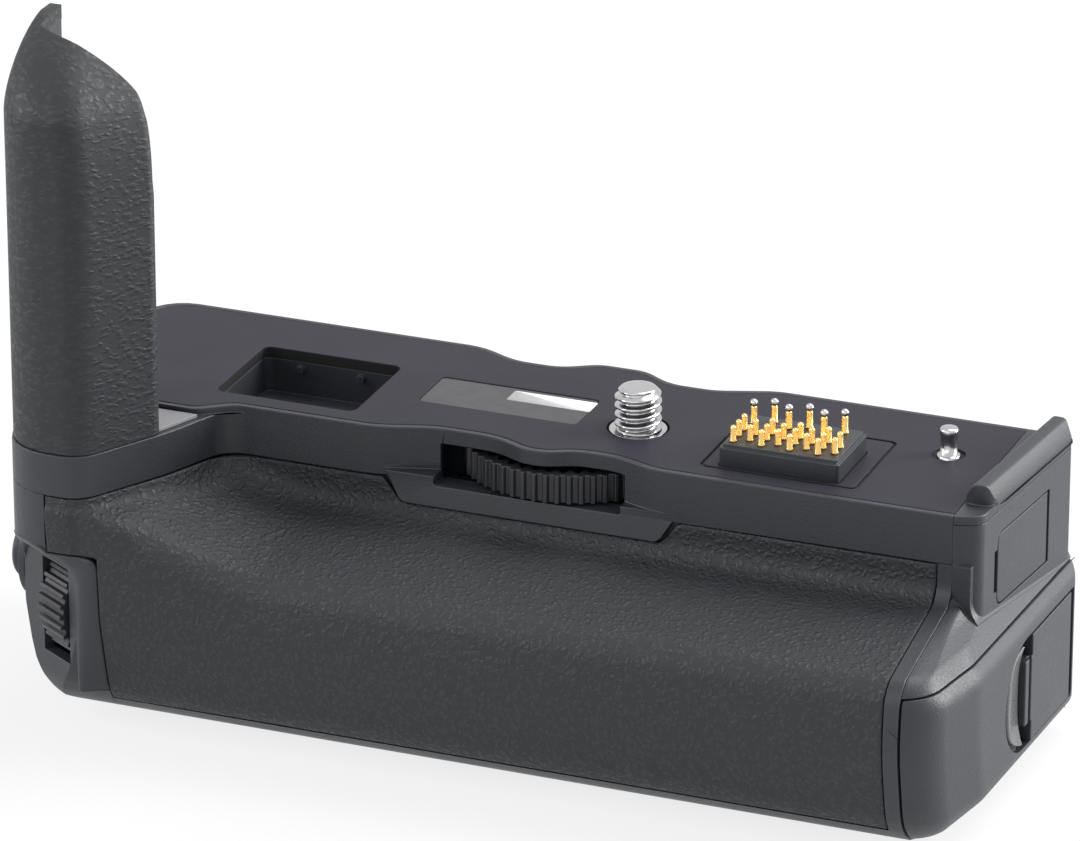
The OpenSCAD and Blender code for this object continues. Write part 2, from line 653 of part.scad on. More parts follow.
function column_levels(d) = concat([-deck_z],
    [for (i = [0 : 16]) column_h - d - dome_right + (dome_right - 0.3) * sin(90 * i / 16)]);
module column_solid(d) difference() {
    loft([for (z = column_levels(d)) column_section(z, d)]);
    along_z(-deck_z - 1, column_h + 5) polygon(hollow_plan());
}
module column_core() color(black) {
    column_solid(skin_t);
}
module column_skin() color(rubber) difference() {
    column_solid(0);
    column_solid(skin_t);
}
module grip_seat_pad() color(pale) along_z(-deck_z, -deck_z + 0.5) difference() {
    intersection() {
        polygon(rounded(inset(frame_plan(seam_x), 0.9)));
        translate(hollow_at) circle(hollow_r - 0.2);
        translate([column_x0 + fin_w + 0.2, -60]) square([60, 60 + seat_front - 0.3]);
    }
}
module label_plate() color(pale)
    along_z(-0.5, -0.1) polygon(rounded(block_outline(label_x + 0.1, label_y + 0.1,
        label_x + label_l - 0.1, label_y + label_w - 0.1, 0.7)));

module cap_holder() color(black) {
    difference() {
        along_z(-pocket_d - 0.8, -plate_t) pocket_plan(0.8);
        along_z(-pocket_d, 1) pocket_plan(0);
    }
    for (t = [0.26, 0.70]) translate([pocket_x + t * pocket_l, pocket_y + pocket_w, -2.7])
        rod_y(-0.6, 0.2, 0.6);
}

// Connector
module connector_block() color(black) {
    top = block_h - 0.5;
    along_z(board_z + board_t, top)
        polygon(rounded(block_outline(block_x, block_y, block_x + block_l, block_y + block_w, 0.6)));
    along_z(top, block_h) polygon(rounded(block_outline(block_x + 0.4, block_y + 0.4,
        block_x + block_l - 0.4, block_y + block_w - 0.4, 0.4)));
}
short_pitch = 3.95;
short_rows = 5;
tall_pitch = 4.95;
row_pitch = 1.05;
module contact_pins() color(gold) {
    for (row = [0 : short_rows - 1], k = [0 : 3])
        translate([block_x + 1.5 + short_pitch * (k + (row % 2) / 2),
            block_y + 1.6 + row_pitch * row, block_h]) cylinder(contact_h, contact_r, contact_r * 0.8);
    for (row = [0 : 1], k = [0 : 2])
        translate([block_x + 1.9 + tall_pitch * (k + row / 2), block_y + 8.4 + 1.2 * row, block_h])
            cylinder(contact_h + 1.2, contact_r * 1.2, contact_r);
}
module guide_pin() color(steel) translate([guide_at.x, guide_at.y, 0]) {
    rod_z(-plate_t, 0, guide_r + guide_foot);
    rod_z(-eps, guide_h - 0.6, guide_r);
    translate([0, 0, guide_h - 0.6]) cylinder(0.6, guide_r, guide_r - 0.6);
    rod_z(-plate_t - 0.8, -plate_t, guide_r + 1.2);
}

// Screw and thumbwheel
module screw_bush() color(steel) difference() {
    rod_z(-plate_t - bush_t, -plate_t, journal_r + 2.2);
    rod_z(-plate_t - bush_t - 1, 0, journal_r + run_gap);
}
module wheel_axle() color(steel) translate([wheel_at.x, wheel_at.y, 0]) {
    rod_z(wheel_low - cup_t - joint_gap - 0.1, -plate_t, axle_r);
    rod_z(-plate_t - 0.6, -plate_t, axle_r + 1.2);
    rod_z(wheel_low - cup_t - joint_gap - 0.9, wheel_low - cup_t - joint_gap, axle_r + 1.4);
}
module thumbwheel() color(black) translate([wheel_at.x, wheel_at.y, 0]) {
    difference() {
        along_z(wheel_low, wheel_top) polygon(ribbed(wheel_r, wheel_ribs, rib_d));
        along_z(wheel_low - 1, wheel_top + 1) rotate(mesh_angle)
            polygon(gear_outline(ring_n, ring_pitch_r, ring_root_r, ring_pitch_r - 0.75 * gear_m, -0.25));
    }
    difference() {
        union() {
            rod_z(wheel_low - cup_t, wheel_low, cup_r);
            rod_z(wheel_low - eps, wheel_top - 0.6, hub_r);
        }
        rod_z(wheel_low - cup_t - 1, wheel_top + 1, axle_r + run_gap);
    }
}
module camera_screw() color(steel) {
    translate([0, 0, screw_h - 0.6]) cylinder(0.6, screw_r, screw_r - 0.6);
    rod_z(0, screw_h - 0.6, screw_r);
    rod_z(wheel_top, 0, journal_r);
    rod_z(wheel_low + 0.5, wheel_top, spigot_r);
}
module screw_pinion() color(steel) difference() {
    along_z(wheel_low + 0.5, wheel_top) rotate(mesh_angle)
        polygon(gear_outline(pinion_n, pinion_pitch_r, pinion_pitch_r + gear_m,
            pinion_pitch_r - 1.2 * gear_m, 0.9));
    rod_z(wheel_low - 1, wheel_top + 1, spigot_r);
}
module screw_clip() color(steel) difference() {
    rod_z(-clip_t - 0.1, -0.1, clip_r);
    rod_z(-2, 1, journal_r);
    box([-0.8, 0, -2], [0.8, 9, 1]);
}

// Underside
module base_plate() color(black) difference() {
    along_z(-base_z - foot_h, -base_z) polygon(rounded(block_outline(foot_x0, foot_y0, foot_x1, foot_y1, 5)));
    rod_z(-base_z - foot_h - 1, 0, bush_r + 0.02);
}
module tripod_bush() color(steel) difference() {
    rod_z(-base_z - foot_h, chamber_low, bush_r);
    rod_z(-base_z - foot_h - 1, chamber_low - 0.6, tripod_r);
}
module base_screws() color(steel) for (p = base_screw_at) translate([p.x, p.y, 0]) {
    rod_z(-base_z, -base_z + 0.9, 1.95);
    rod_z(-base_z + 0.8, -base_z + wall + 1.6, 0.95);
}

// Battery chamber and board
module battery_chamber() color(black) {
    difference() {
        along_x(chamber_x0 - chamber_t, seam_x) polygon([
            [chamber_front, chamber_low], [chamber_back - 0.9, chamber_low],
            [chamber_back, chamber_low + 1.4], [chamber_back, chamber_top], [chamber_front, chamber_top]]);
        box([chamber_x0, chamber_front + chamber_t, chamber_low + chamber_t],
            [seam_x + 1, chamber_back - chamber_t, chamber_top - chamber_t]);
    }
    for (x = [-42, 36], y = [-5, 12]) translate([x, y, 0]) rod_z(chamber_top - 0.2, board_z, 1.5);
}
module chamber_contacts() color(gold) for (k = [0 : 3])
    translate([chamber_x0, tray_front + 6 + 3.4 * k, battery_low + 4]) box([0, 0, 0], [0.5, 1.8, 7]);
module main_board() color(board_green)
    box([board_x0, board_y0, board_z], [board_x1, switch_y + 0.2, board_z + board_t]);

// Tray, batteries, cap and latch
module battery_tray() color(black) difference() {
    box([tray_x0, tray_front, tray_low], [tray_x1, tray_back, tray_top]);
    for (k = [0, 1]) translate([tray_x0 + tray_wall + k * (well_l + tray_wall), tray_front + tray_wall, 0]) {
        box([0, 0, battery_low], [well_l, battery_w + 2 * fit_gap, 0]);
        // Window in the floor, and finger notches in both long walls
        box([6, 6, tray_low - 1], [well_l - 6, battery_w - 6, battery_low + 1]);
        translate([well_l / 2, 0, tray_top]) rod_y(-9, battery_w + 9, 7);
    }
}
module battery(k) {
    x0 = tray_x0 + tray_wall + fit_gap + k * (well_l + tray_wall);
    y0 = tray_front + tray_wall + fit_gap;
    difference() {
        along_z(battery_low, battery_low + battery_t)
            polygon(rounded(block_outline(x0, y0, x0 + battery_l, y0 + battery_w, 2)));
        for (j = [0 : 3]) translate([x0, y0 + 5.7 + 3.4 * j, battery_low + 4]) box([-1, 0, 0], [0.6, 2.2, 7]);
    }
}
module inner_battery() color(pale) battery(0);
module outer_battery() color(pale) battery(1);
module d_plan(g) {
    half = latch_w / 2 - g;
    polygon(concat(
        [for (a = [90 : 10 : 270]) [latch_y0 + latch_w / 2, latch_z] + half * polar(a)],
        [[latch_y1 - g, latch_z - half], [latch_y1 - g, latch_z + half]]));
}
module tray_cap() color(black) difference() {
    lower_end(-base_z - 1, end_split_z - 0.25);
    box([seam_x - 1, -60, -60], [tray_x1, 60, 0]);
    at_low() {
        intersection() {
            along_x(-latch_depth, 5) d_plan(0);
            box([-20, lever_y0 - joint_gap, -60], [20, 5, 0]);
        }
        // Finger scoop, whose floor rises to the lever's tongue so that a nail meets its edge
        intersection() {
            along_x(-scoop_depth, 5) d_plan(0);
            along_z(-60, 0) polygon([[-scoop_depth, latch_y0 - 1], [-scoop_rise, lever_y0 - joint_gap + eps],
                [5, lever_y0 - joint_gap + eps], [5, latch_y0 - 1]]);
        }
        translate([pin_x, pin_y, 0]) rod_z(latch_z - pin_half, latch_z + pin_half, pin_r + 0.01);
    }
}
module latch_lever() color(black) at_low() difference() {
    union() {
        along_x(-lever_t, 0) polygon([
            [lever_y0, latch_z - tongue_half], [lever_step, latch_z - tongue_half],
            [lever_step, latch_z - lever_half], [pin_y, latch_z - lever_half],
            [pin_y, latch_z + lever_half], [lever_step, latch_z + lever_half],
            [lever_step, latch_z + tongue_half], [lever_y0, latch_z + tongue_half]]);
        translate([pin_x, pin_y, 0]) rod_z(latch_z - lever_half, latch_z + lever_half, lever_t / 2);
    }
    translate([pin_x, pin_y, 0]) rod_z(latch_z - 20, latch_z + 20, pin_r + run_gap);
    // Grip groove across the tongue
    along_y(lever_y0 + 1.4, lever_y0 + 2.2) polygon([
        [-0.5, latch_z - tongue_half - 1], [1, latch_z - tongue_half - 1],
        [1, latch_z + tongue_half + 1], [-0.5, latch_z + tongue_half + 1]]);
}
module latch_pin() color(steel) at_low() translate([pin_x, pin_y, 0])
    rod_z(latch_z - pin_half + 0.1, latch_z + pin_half - 0.1, pin_r);

// Power socket
module dc_jack() color(black) at_end() translate([0, jack_y, jack_z]) difference() {
    union() {
        box([-10, -5, -4.5], [-end_thick, 5, 4.5]);
        rod_x(-end_thick - 0.1, -dc_depth, jack_nose_r);
    }
    rod_x(-8.5, 1, jack_r);
}
dc_half = dc_t / 2;
dc_hinge = [-dc_half, dc_y1 - dc_gap - dc_half];
module dc_cover() color(rubber) at_end() {
    along_x(-dc_t, 0) polygon(rounded([
        [dc_y0 + dc_gap, dc_z0 + dc_gap, 1.4], [dc_hinge.y, dc_z0 + dc_gap, 0],
        [dc_hinge.y, dc_z1 - dc_gap, 0], [dc_y0 + dc_gap, dc_z1 - dc_gap, 1.4]]));
    translate([dc_hinge.x, dc_hinge.y, 0]) rod_z(dc_z0 + dc_gap, dc_z1 - dc_gap, dc_half);
}

// Left end controls
module shutter_button() color(black) translate([0, shutter_y, shutter_z]) {
    rod_x(-left_x - shutter_out + 0.5, flange_x + 0.1, shutter_r);
    translate([-left_x - shutter_out, 0, 0]) rotate([0, 90, 0]) cylinder(0.5, shutter_r - 0.5, shutter_r);
    rod_x(flange_x, flange_x + flange_t, shutter_r + 0.8);
}
module shutter_collar() color(black) translate([0, shutter_y, shutter_z]) difference() {
    union() {
        rod_x(-left_x - 0.25 - collar_t, -left_x - 0.25, collar_r);
        box([-left_x - 0.25 - collar_t, 0, -1.6], [-left_x - 0.25, collar_r + 2.4, 1.6]);
    }
    rod_x(-left_x - 9, -left_x + 9, boss_r + run_gap);
}
module shutter_switch() color(pale) translate([0, shutter_y, shutter_z]) {
    box([switch_x, -2.4, -2.4], [switch_x + 1.8, 2.4, 2.4]);
    box([switch_x + 1.8, -1.9, -post_z - 1.6], [switch_x + 2.6, 1.9, post_z + 1.6]);
}

// Command dials
module dial_wheel() difference() {
    along_x(-dial_t / 2, dial_t / 2) polygon(ribbed(dial_r, dial_ribs, 0.6));
    rod_x(-dial_t, dial_t, 1);
}
module dial_shaft() { rod_x(-dial_t / 2 - 1.4, dial_t / 2 + 1.4, 1); }
// One ear of a dial's bracket, from the shaft to a wall that is reach away along +Y
module dial_ear(reach) difference() {
    box([0, -2, -2.2], [1, reach, 2.2]);
    rod_x(-1, 2, 1 + run_gap);
}
module at_front_dial() { at_facet() translate([dial_u, dial_in, dial_z]) children(); }
module at_rear_dial() { translate([rear_dial_x, rear_dial_y, rear_dial_z]) children(); }
module front_dial() color(black) at_front_dial() dial_wheel();
module front_dial_shaft() color(steel) at_front_dial() dial_shaft();
module front_dial_bracket() color(black) at_front_dial() for (s = [-1, 1])
    translate([s > 0 ? dial_t / 2 + 0.4 : -dial_t / 2 - 1.4, 0, 0])
        mirror([0, 1, 0]) dial_ear(dial_in - wall);
module rear_dial() color(black) at_rear_dial() dial_wheel();
module rear_dial_shaft() color(steel) at_rear_dial() dial_shaft();
module rear_dial_bracket() color(black) at_rear_dial() for (s = [-1, 1])
    translate([s > 0 ? dial_t / 2 + 0.4 : -dial_t / 2 - 1.4, 0, 0]) dial_ear(back_y - wall - rear_dial_y);

// Back controls
module push_button(x, z) color(black) translate([x, back_y, z]) {
    rod_y(-wall - 0.2, button_out - 0.4, button_r);
    translate([0, button_out - 0.4, 0]) rotate([-90, 0, 0]) cylinder(0.4, button_r, button_r - 0.4);
    rod_y(-wall - 0.15 - flange_t, -wall - 0.15, button_r + 0.7);
}
module lock_button_left() push_button(lock_x[0], lock_z);
module lock_button_right() push_button(lock_x[1], lock_z);
module menu_button() push_button(menu_x, menu_z);
module button_switches() color(pale) {
    for (x = lock_x) translate([x, 0, 0])
        box([-2.8, switch_y - 3, board_z + board_t], [2.8, switch_y, lock_z + 2.4]);
    translate([menu_x, 0, menu_z]) {
        box([-2.6, switch_y - 2.5, -6], [2.6, switch_y, 6]);
        for (s = [-1, 1]) translate([0, 0, s * 4.9]) rod_y(switch_y - 0.1, back_y - wall, 0.9);
    }
}
module at_stick() { translate([stick_x, stick_pivot_y, stick_z]) children(); }
gimbal_r = 3.3;
gimbal_in = 2.3;
trunnion_r = 0.5;
cup_in = 4.1;
cup_half = 5;
module stick_gimbal() color(steel) at_stick() {
    difference() {
        rod_y(-0.8, 0.8, gimbal_r);
        rod_y(-2, 2, gimbal_in);
        rod_z(-9, 9, trunnion_r + run_gap);
    }
    for (s = [0, 180]) rotate([0, 0, s]) rod_x(gimbal_r - 0.3, cup_half - 0.3, trunnion_r);
}
module focus_stick() color(black) at_stick() {
    sphere(1.8);
    rod_z(-gimbal_r + 0.1, gimbal_r - 0.1, trunnion_r);
    rod_y(0, back_y - stick_pivot_y + 1, 1.2);
    translate([0, back_y - stick_pivot_y + 0.8, 0]) rotate([-90, 0, 0]) cylinder(1.2, stick_r, stick_r - 0.3);
}
module stick_base() color(black) at_stick() difference() {
    box([-cup_half, -3.6, -cup_half], [cup_half, back_y - wall - stick_pivot_y, cup_half]);
    rod_y(-2.4, 9, cup_in);
    rod_x(-9, 9, trunnion_r + run_gap);
}
module status_lamps() color("seagreen") for (x = lamp_x)
    translate([x, back_y, lock_z]) rod_y(-wall - 0.6, 0.1, lamp_r);

seat_plate();
side_fence();
upper_frame();
lower_housing();
left_end_cover();
right_end_cover();
front_skin();
column_core();
column_skin();
grip_seat_pad();
label_plate();
cap_holder();
connector_block();
contact_pins();
guide_pin();
screw_bush();
wheel_axle();
thumbwheel();
camera_screw();
screw_pinion();
screw_clip();
base_plate();
tripod_bush();
base_screws();
battery_chamber();
chamber_contacts();
main_board();
battery_tray();
tray_cap();
inner_battery();
outer_battery();
latch_lever();
latch_pin();
dc_jack();
dc_cover();
shutter_button();
shutter_collar();
shutter_switch();
front_dial();
front_dial_shaft();
front_dial_bracket();
rear_dial();
rear_dial_shaft();
rear_dial_bracket();
lock_button_left();
lock_button_right();
menu_button();
button_switches();
stick_gimbal();
focus_stick();
stick_base();
status_lamps();
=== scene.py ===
"""Battery grip of a mirrorless camera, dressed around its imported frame."""

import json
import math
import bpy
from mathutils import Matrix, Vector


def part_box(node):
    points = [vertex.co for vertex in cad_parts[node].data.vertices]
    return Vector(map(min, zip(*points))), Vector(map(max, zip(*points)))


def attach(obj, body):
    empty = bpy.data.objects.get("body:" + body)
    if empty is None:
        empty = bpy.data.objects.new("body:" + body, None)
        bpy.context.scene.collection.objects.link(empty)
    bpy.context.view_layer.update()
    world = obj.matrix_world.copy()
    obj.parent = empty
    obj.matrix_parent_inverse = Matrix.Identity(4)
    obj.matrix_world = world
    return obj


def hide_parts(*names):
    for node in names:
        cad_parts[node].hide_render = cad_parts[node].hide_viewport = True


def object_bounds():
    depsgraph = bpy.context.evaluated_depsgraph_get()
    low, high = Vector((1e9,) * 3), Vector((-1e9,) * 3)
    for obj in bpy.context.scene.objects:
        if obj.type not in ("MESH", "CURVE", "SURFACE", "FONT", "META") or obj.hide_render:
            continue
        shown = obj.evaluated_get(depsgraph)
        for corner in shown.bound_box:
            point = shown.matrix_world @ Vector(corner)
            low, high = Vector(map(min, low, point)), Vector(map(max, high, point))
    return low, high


bl_info = {
    "name": "Camera Battery Grip",
    "version": (1, 0, 0),
    "blender": (4, 5, 0),
    "location": "View3D > Sidebar > Battery Grip",
    "description": "Skins, finishes and small pieces of a camera battery grip, with its stage",
    "category": "Object",
}

import bpy
import numpy as np
from bpy.props import FloatProperty, FloatVectorProperty, IntProperty, PointerProperty
from mathutils import Matrix, Vector

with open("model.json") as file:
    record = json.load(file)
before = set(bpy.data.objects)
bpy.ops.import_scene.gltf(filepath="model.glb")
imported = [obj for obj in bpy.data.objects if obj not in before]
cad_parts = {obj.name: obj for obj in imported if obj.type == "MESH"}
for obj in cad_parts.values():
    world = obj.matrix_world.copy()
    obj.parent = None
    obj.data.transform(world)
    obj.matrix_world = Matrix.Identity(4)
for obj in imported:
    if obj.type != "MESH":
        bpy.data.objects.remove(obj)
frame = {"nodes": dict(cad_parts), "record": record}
cad_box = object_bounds()

MM = 0.001


def low(node):
    """Lowest corner of a solid, in millimetres."""
    return np.array(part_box(node)[0]) / MM


def high(node):
    """Highest corner of a solid, in millimetres."""
    return np.array(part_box(node)[1]) / MM


def colour_property(name, description, default):
    return FloatVectorProperty(
        name=name, description=description, subtype="COLOR", size=3, min=0, max=1, default=default
    )


def length_property(name, description, default):
    return FloatProperty(name=name, description=description, default=default, min=0)


class GripColours(bpy.types.PropertyGroup):
    """Colours of the finishes, as linear values."""

    housing: colour_property("Housing", "Moulded black shells", (0.0210, 0.0240, 0.0300))
    rubber: colour_property("Rubber", "Grained skins", (0.0132, 0.0151, 0.0190))
    seat: colour_property("Seat", "Painted seat plate", (0.0236, 0.0212, 0.0315))
    wheel: colour_property("Wheels", "Thumbwheel and dials", (0.020, 0.021, 0.024))
    nickel: colour_property("Nickel", "Screw, pins and shafts", (0.50, 0.50, 0.51))
    gold: colour_property("Gold", "Contact pins", (0.86, 0.58, 0.22))
    pad: colour_property("Pad", "Pale pad at the riser's foot", (0.25, 0.25, 0.26))
    label: colour_property("Label", "Blank label film", (0.060, 0.060, 0.064))
    strip: colour_property("Strip", "Blank strip of the label", (0.80, 0.80, 0.80))
    board: colour_property("Board", "Circuit board", (0.015, 0.10, 0.045))
    lamp: colour_property("Lamp", "Lenses of the charge lamps", (0.10, 0.32, 0.16))


class GripSizes(bpy.types.PropertyGroup):
    """Sizes of the surface detail, in millimetres."""

    pebble: length_property("Pebble", "Width of one pebble of the leather grain", 0.75)
    grain_depth: length_property("Grain depth", "Depth of the leather grain", 0.16)
    speckle: length_property("Speckle", "Width of the moulded speckle", 0.28)
    speckle_depth: length_property("Speckle depth", "Depth of the moulded speckle", 0.02)
    edge: length_property("Edge", "Rounding of moulded edges", 0.18)
    fine_edge: length_property("Fine edge", "Rounding of small edges", 0.08)
    thin_edge: length_property("Thin edge", "Rounding of ribs, rims and the riser's core", 0.1)
    plate_edge: length_property("Plate edge", "Rounding of the seat plate and contact block", 0.12)
    button_edge: length_property("Button edge", "Rounding of buttons and the soft cover", 0.15)
    case_edge: length_property("Case edge", "Rounding of the base, tray and batteries", 0.2)
    gear_edge: length_property("Gear edge", "Rounding of the screw's gear and bearing", 0.04)
    pitch: length_property("Pitch", "Pitch of the tripod thread", 1.27)
    turns: IntProperty(name="Segments", description="Sides of a turned piece", default=40, min=12)


def colours():
    return bpy.context.scene.grip_colours


def sizes():
    return bpy.context.scene.grip_sizes


# Shader values as Python arithmetic


class Wire:
    """A shader value: arithmetic on it adds Math nodes."""

    def __init__(self, finish, socket):
        self.finish = finish
        self.socket = socket

    def _math(self, operation, first, second):
        return self.finish.node("ShaderNodeMath", {"operation": operation}, first, second)

    def __add__(self, other):
        return self._math("ADD", self, other)

    def __radd__(self, other):
        return self._math("ADD", other, self)

    def __sub__(self, other):
        return self._math("SUBTRACT", self, other)

    def __rsub__(self, other):
        return self._math("SUBTRACT", other, self)

    def __mul__(self, other):
        return self._math("MULTIPLY", self, other)

    def __rmul__(self, other):
        return self._math("MULTIPLY", other, self)


def rgba(value):
    """A colour with its alpha; a number or a wire stays as it is."""
    return (*value, 1) if hasattr(value, "__len__") else value


class Finish:
    """A material round one principled shader."""

    def __init__(self, name, **constants):
        self.material = bpy.data.materials.new(name)
        self.material.use_nodes = True
        self.nodes = self.material.node_tree.nodes
        self.links = self.material.node_tree.links
        self.nodes.clear()
        self.shader = self.nodes.new("ShaderNodeBsdfPrincipled")
        self.out = self.nodes.new("ShaderNodeOutputMaterial")
        self.surface = Wire(self, self.shader.outputs[0])
        self.show(self.surface)
        for name, value in constants.items():
            self.shader.inputs[name.replace("_", " ")].default_value = rgba(value)

    def node(self, kind, settings=None, *values, out=0, **named):
        """A node with its settings made first, then its sockets' values or links."""
        made = self.nodes.new(kind)
        for key, value in (settings or {}).items():
            setattr(made, key, value)
        for key, value in [*enumerate(values), *named.items()]:
            if value is None:
                continue
            socket = made.inputs[key if isinstance(key, int) else key.replace("_", " ")]
            if isinstance(value, Wire):
                self.links.new(value.socket, socket)
            else:
                socket.default_value = value
        return Wire(self, made.outputs[out])

    def show(self, surface):
        """Make a shader the material's surface."""
        self.links.new(surface.socket, self.out.inputs["Surface"])

    def feed(self, **wires):
        """Link varying values to the shader's own sockets."""
        for name, wire in wires.items():
            self.links.new(wire.socket, self.shader.inputs[name.replace("_", " ")])

    def vector(self, operation, *values, out=0):
        """A vector worked out from others."""
        return self.node("ShaderNodeVectorMath", {"operation": operation}, *values, out=out)

    def place(self, stretch=(1, 1, 1)):
        """Position on the piece in millimetres, stretched if asked."""
        where = self.node("ShaderNodeTexCoord", out="Object")
        return self.vector("MULTIPLY", where, tuple(s / MM for s in stretch))

    def noise(self, place, width, detail=2.0, rough=0.5):
        """Soft noise whose features are about that wide, in millimetres."""
        return self.node(
            "ShaderNodeTexNoise", None,
            Vector=place, Scale=1 / width, Detail=detail, Roughness=rough,
        )

    def step(self, value, start, end, to_min=0.0, to_max=1.0):
        """A smooth step from one value to another."""
        return self.node(
            "ShaderNodeMapRange", {"interpolation_type": "SMOOTHSTEP"},
            value, start, end, to_min, to_max,
        )

    def mix(self, share, first, second):
        """A colour between two others."""
        # The node's own sockets for numbers and vectors lie between the share and the colours
        unused = [None] * 5
        return self.node(
            "ShaderNodeMix", {"data_type": "RGBA"},
            share, *unused, rgba(first), rgba(second), out=2,
        )

    def edges(self, reach):
        """Share of a painted edge highlight, which rises beside the piece's edges within that
        reach in millimetres.
        """
        soft = self.node("ShaderNodeBevel", {"samples": 4}, Radius=reach * MM)
        hard = self.node("ShaderNodeNewGeometry", out="Normal")
        along = self.vector("DOT_PRODUCT", soft, hard, out="Value")
        return self.step(along, 0.90, 0.995, 1.0, 0.0)

    def relief(self, height, depth, strength=1.0):
        """Feed a height, whose full step is that deep in millimetres, to the shader's normal."""
        bump = self.node(
            "ShaderNodeBump", None, Strength=strength, Distance=depth * MM, Height=height)
        self.feed(Normal=bump)


def shade(colour, factor):
    return tuple(min(1.0, c * factor) for c in colour)


def moulded_finish(name, colour, rough=0.46, width=None, depth=None, inside=None):
    """Black plastic with a fine spark-eroded speckle, lightened beside its edges as a painted
    highlight.

    Inside, a box in millimetres, gets painted shade: a dark matt shader there stands for the shade
    deep in a recess.
    """
    finish = Finish(name, IOR=1.5)
    place = finish.place()
    speckle = finish.noise(place, width or sizes().speckle, 1.0)
    cloud = finish.noise(place, 9.0, 3.0)
    # Painted highlight: beside the edges the colour is doubled to stand for light caught on them;
    # the same share also lowers the roughness there
    painted_edge_highlight = finish.edges(0.3) * finish.step(finish.noise(place, 1.8, 3.0), 0.35, 0.65, 0.35, 1.0)
    skin = finish.mix(cloud, shade(colour, 0.88), shade(colour, 1.12))
    grain = speckle * 0.6 + cloud * 0.4
    finish.feed(
        Base_Color=finish.mix(painted_edge_highlight, skin, shade(colour, 2.0)),
        Roughness=finish.step(grain, 0.25, 0.75, rough - 0.06, rough + 0.08) - painted_edge_highlight * 0.12,
    )
    finish.relief(finish.step(speckle, 0.3, 0.7), depth or sizes().speckle_depth, 0.7)
    # Painted shade: within the box the plastic gives way to a dark matt shader, for the shade that
    # falls deep in the recess
    if inside:
        dark, blur = 1.0, 0.1
        for axis, (start, end) in enumerate(inside):
            along = finish.node("ShaderNodeSeparateXYZ", None, place, out=axis)
            after = finish.step(along, start, start + blur)
            before = finish.step(along, end - blur, end, 1.0, 0.0)
            dark = after * before * dark
        painted_shade = finish.node("ShaderNodeBsdfDiffuse", None, rgba(shade(colour, 0.25)), 1.0)
        finish.show(finish.node("ShaderNodeMixShader", None, dark, finish.surface, painted_shade))
    return finish.material


def leather_finish(name, colour, stretch=(1, 1, 1), strength=0.9):
    """Rubber moulded with a pebbled leather grain."""
    finish = Finish(name, IOR=1.5)
    place = finish.place(stretch)
    pebble = sizes().pebble
    drift = finish.node("ShaderNodeTexNoise", None, out=1, Vector=place, Scale=0.9, Detail=2.0)
    bend = finish.vector("SUBTRACT", drift, (0.5, 0.5, 0.5))
    bent = finish.vector("MULTIPLY_ADD", bend, (1.5, 1.5, 1.5), place)
    cell = finish.node(
        "ShaderNodeTexVoronoi", {"feature": "SMOOTH_F1"},
        Vector=bent, Scale=1 / pebble, Smoothness=0.45, Randomness=1.0,
    )
    fine = finish.noise(bent, pebble * 0.45, 2.0)
    broad = finish.noise(place, pebble * 4.5, 2.0)
    dome = finish.step(cell, 0.15, 0.62, 1.0, 0.0)
    height = dome * 0.62 + fine * 0.34 + broad * 0.26
    finish.feed(
        Base_Color=finish.mix(dome, shade(colour, 0.84), shade(colour, 1.08)),
        Roughness=finish.step(height, 0.3, 1.0, 0.62, 0.46),
    )
    finish.relief(height, sizes().grain_depth, strength)
    return finish.material


def painted_finish(name, colour):
    """Fine matt paint on the seat's metal."""
    finish = Finish(name, IOR=1.5, Specular_IOR_Level=0.2)
    place = finish.place()
    sand = finish.noise(place, 0.22, 2.0)
    cloud = finish.noise(place, 14.0, 3.0)
    height = finish.node("ShaderNodeSeparateXYZ", None, place, out=2)
    paint = finish.mix(cloud, shade(colour, 0.90), shade(colour, 1.12))
    finish.feed(
        Base_Color=finish.mix(finish.step(height, -0.32, -0.18), (0.018, 0.018, 0.019), paint),
        Roughness=finish.step(sand * 0.5 + cloud * 0.5, 0.3, 0.7, 0.48, 0.62),
    )
    finish.relief(sand, 0.03, 0.6)
    return finish.material


def metal_finish(name, colour, rough=0.2, stretch=(1, 1, 1)):
    """Plated metal with faint turning marks."""
    finish = Finish(name, Metallic=1.0)
    place = finish.place(stretch)
    mark = finish.noise(place, 0.12, 2.0)
    cloud = finish.noise(place, 1.6, 2.0)
    finish.feed(
        Base_Color=finish.mix(cloud, shade(colour, 0.90), shade(colour, 1.05)),
        Roughness=finish.step(mark * 0.5 + cloud * 0.5, 0.2, 0.8, rough * 0.7, rough * 1.4),
    )
    finish.relief(mark, 0.004, 0.5)
    return finish.material


def film_finish(name, colour, rough=0.4):
    """Smooth printed film or soft rubber with slight cloudiness."""
    finish = Finish(name, IOR=1.48)
    place = finish.place()
    cloud = finish.noise(place, 2.5, 3.0)
    finish.feed(
        Base_Color=finish.mix(cloud, shade(colour, 0.92), shade(colour, 1.06)),
        Roughness=finish.step(cloud, 0.3, 0.7, rough - 0.05, rough + 0.07),
    )
    finish.relief(cloud, 0.01, 0.4)
    return finish.material


def board_finish(name, colour):
    """Circuit board under lacquer, with faint tracks."""
    finish = Finish(name, IOR=1.5)
    place = finish.place()
    weave = finish.node("ShaderNodeTexBrick", {"offset": 0.5}, out=1, Vector=place, Scale=0.9)
    finish.feed(
        Base_Color=finish.mix(weave, shade(colour, 1.5), colour),
        Roughness=finish.step(weave, 0.0, 1.0, 0.30, 0.42),
    )
    finish.relief(weave, 0.02, 0.5)
    return finish.material


def lens_finish(name, colour):
    """Tinted lens of a charge lamp."""
    finish = Finish(name, IOR=1.49, Coat_Weight=0.6)
    cloud = finish.noise(finish.place(), 0.5, 1.0)
    finish.feed(
        Base_Color=finish.mix(cloud, shade(colour, 0.8), shade(colour, 1.2)),
        Roughness=finish.step(cloud, 0.3, 0.7, 0.10, 0.18),
    )
    return finish.material


FINISHES = {}


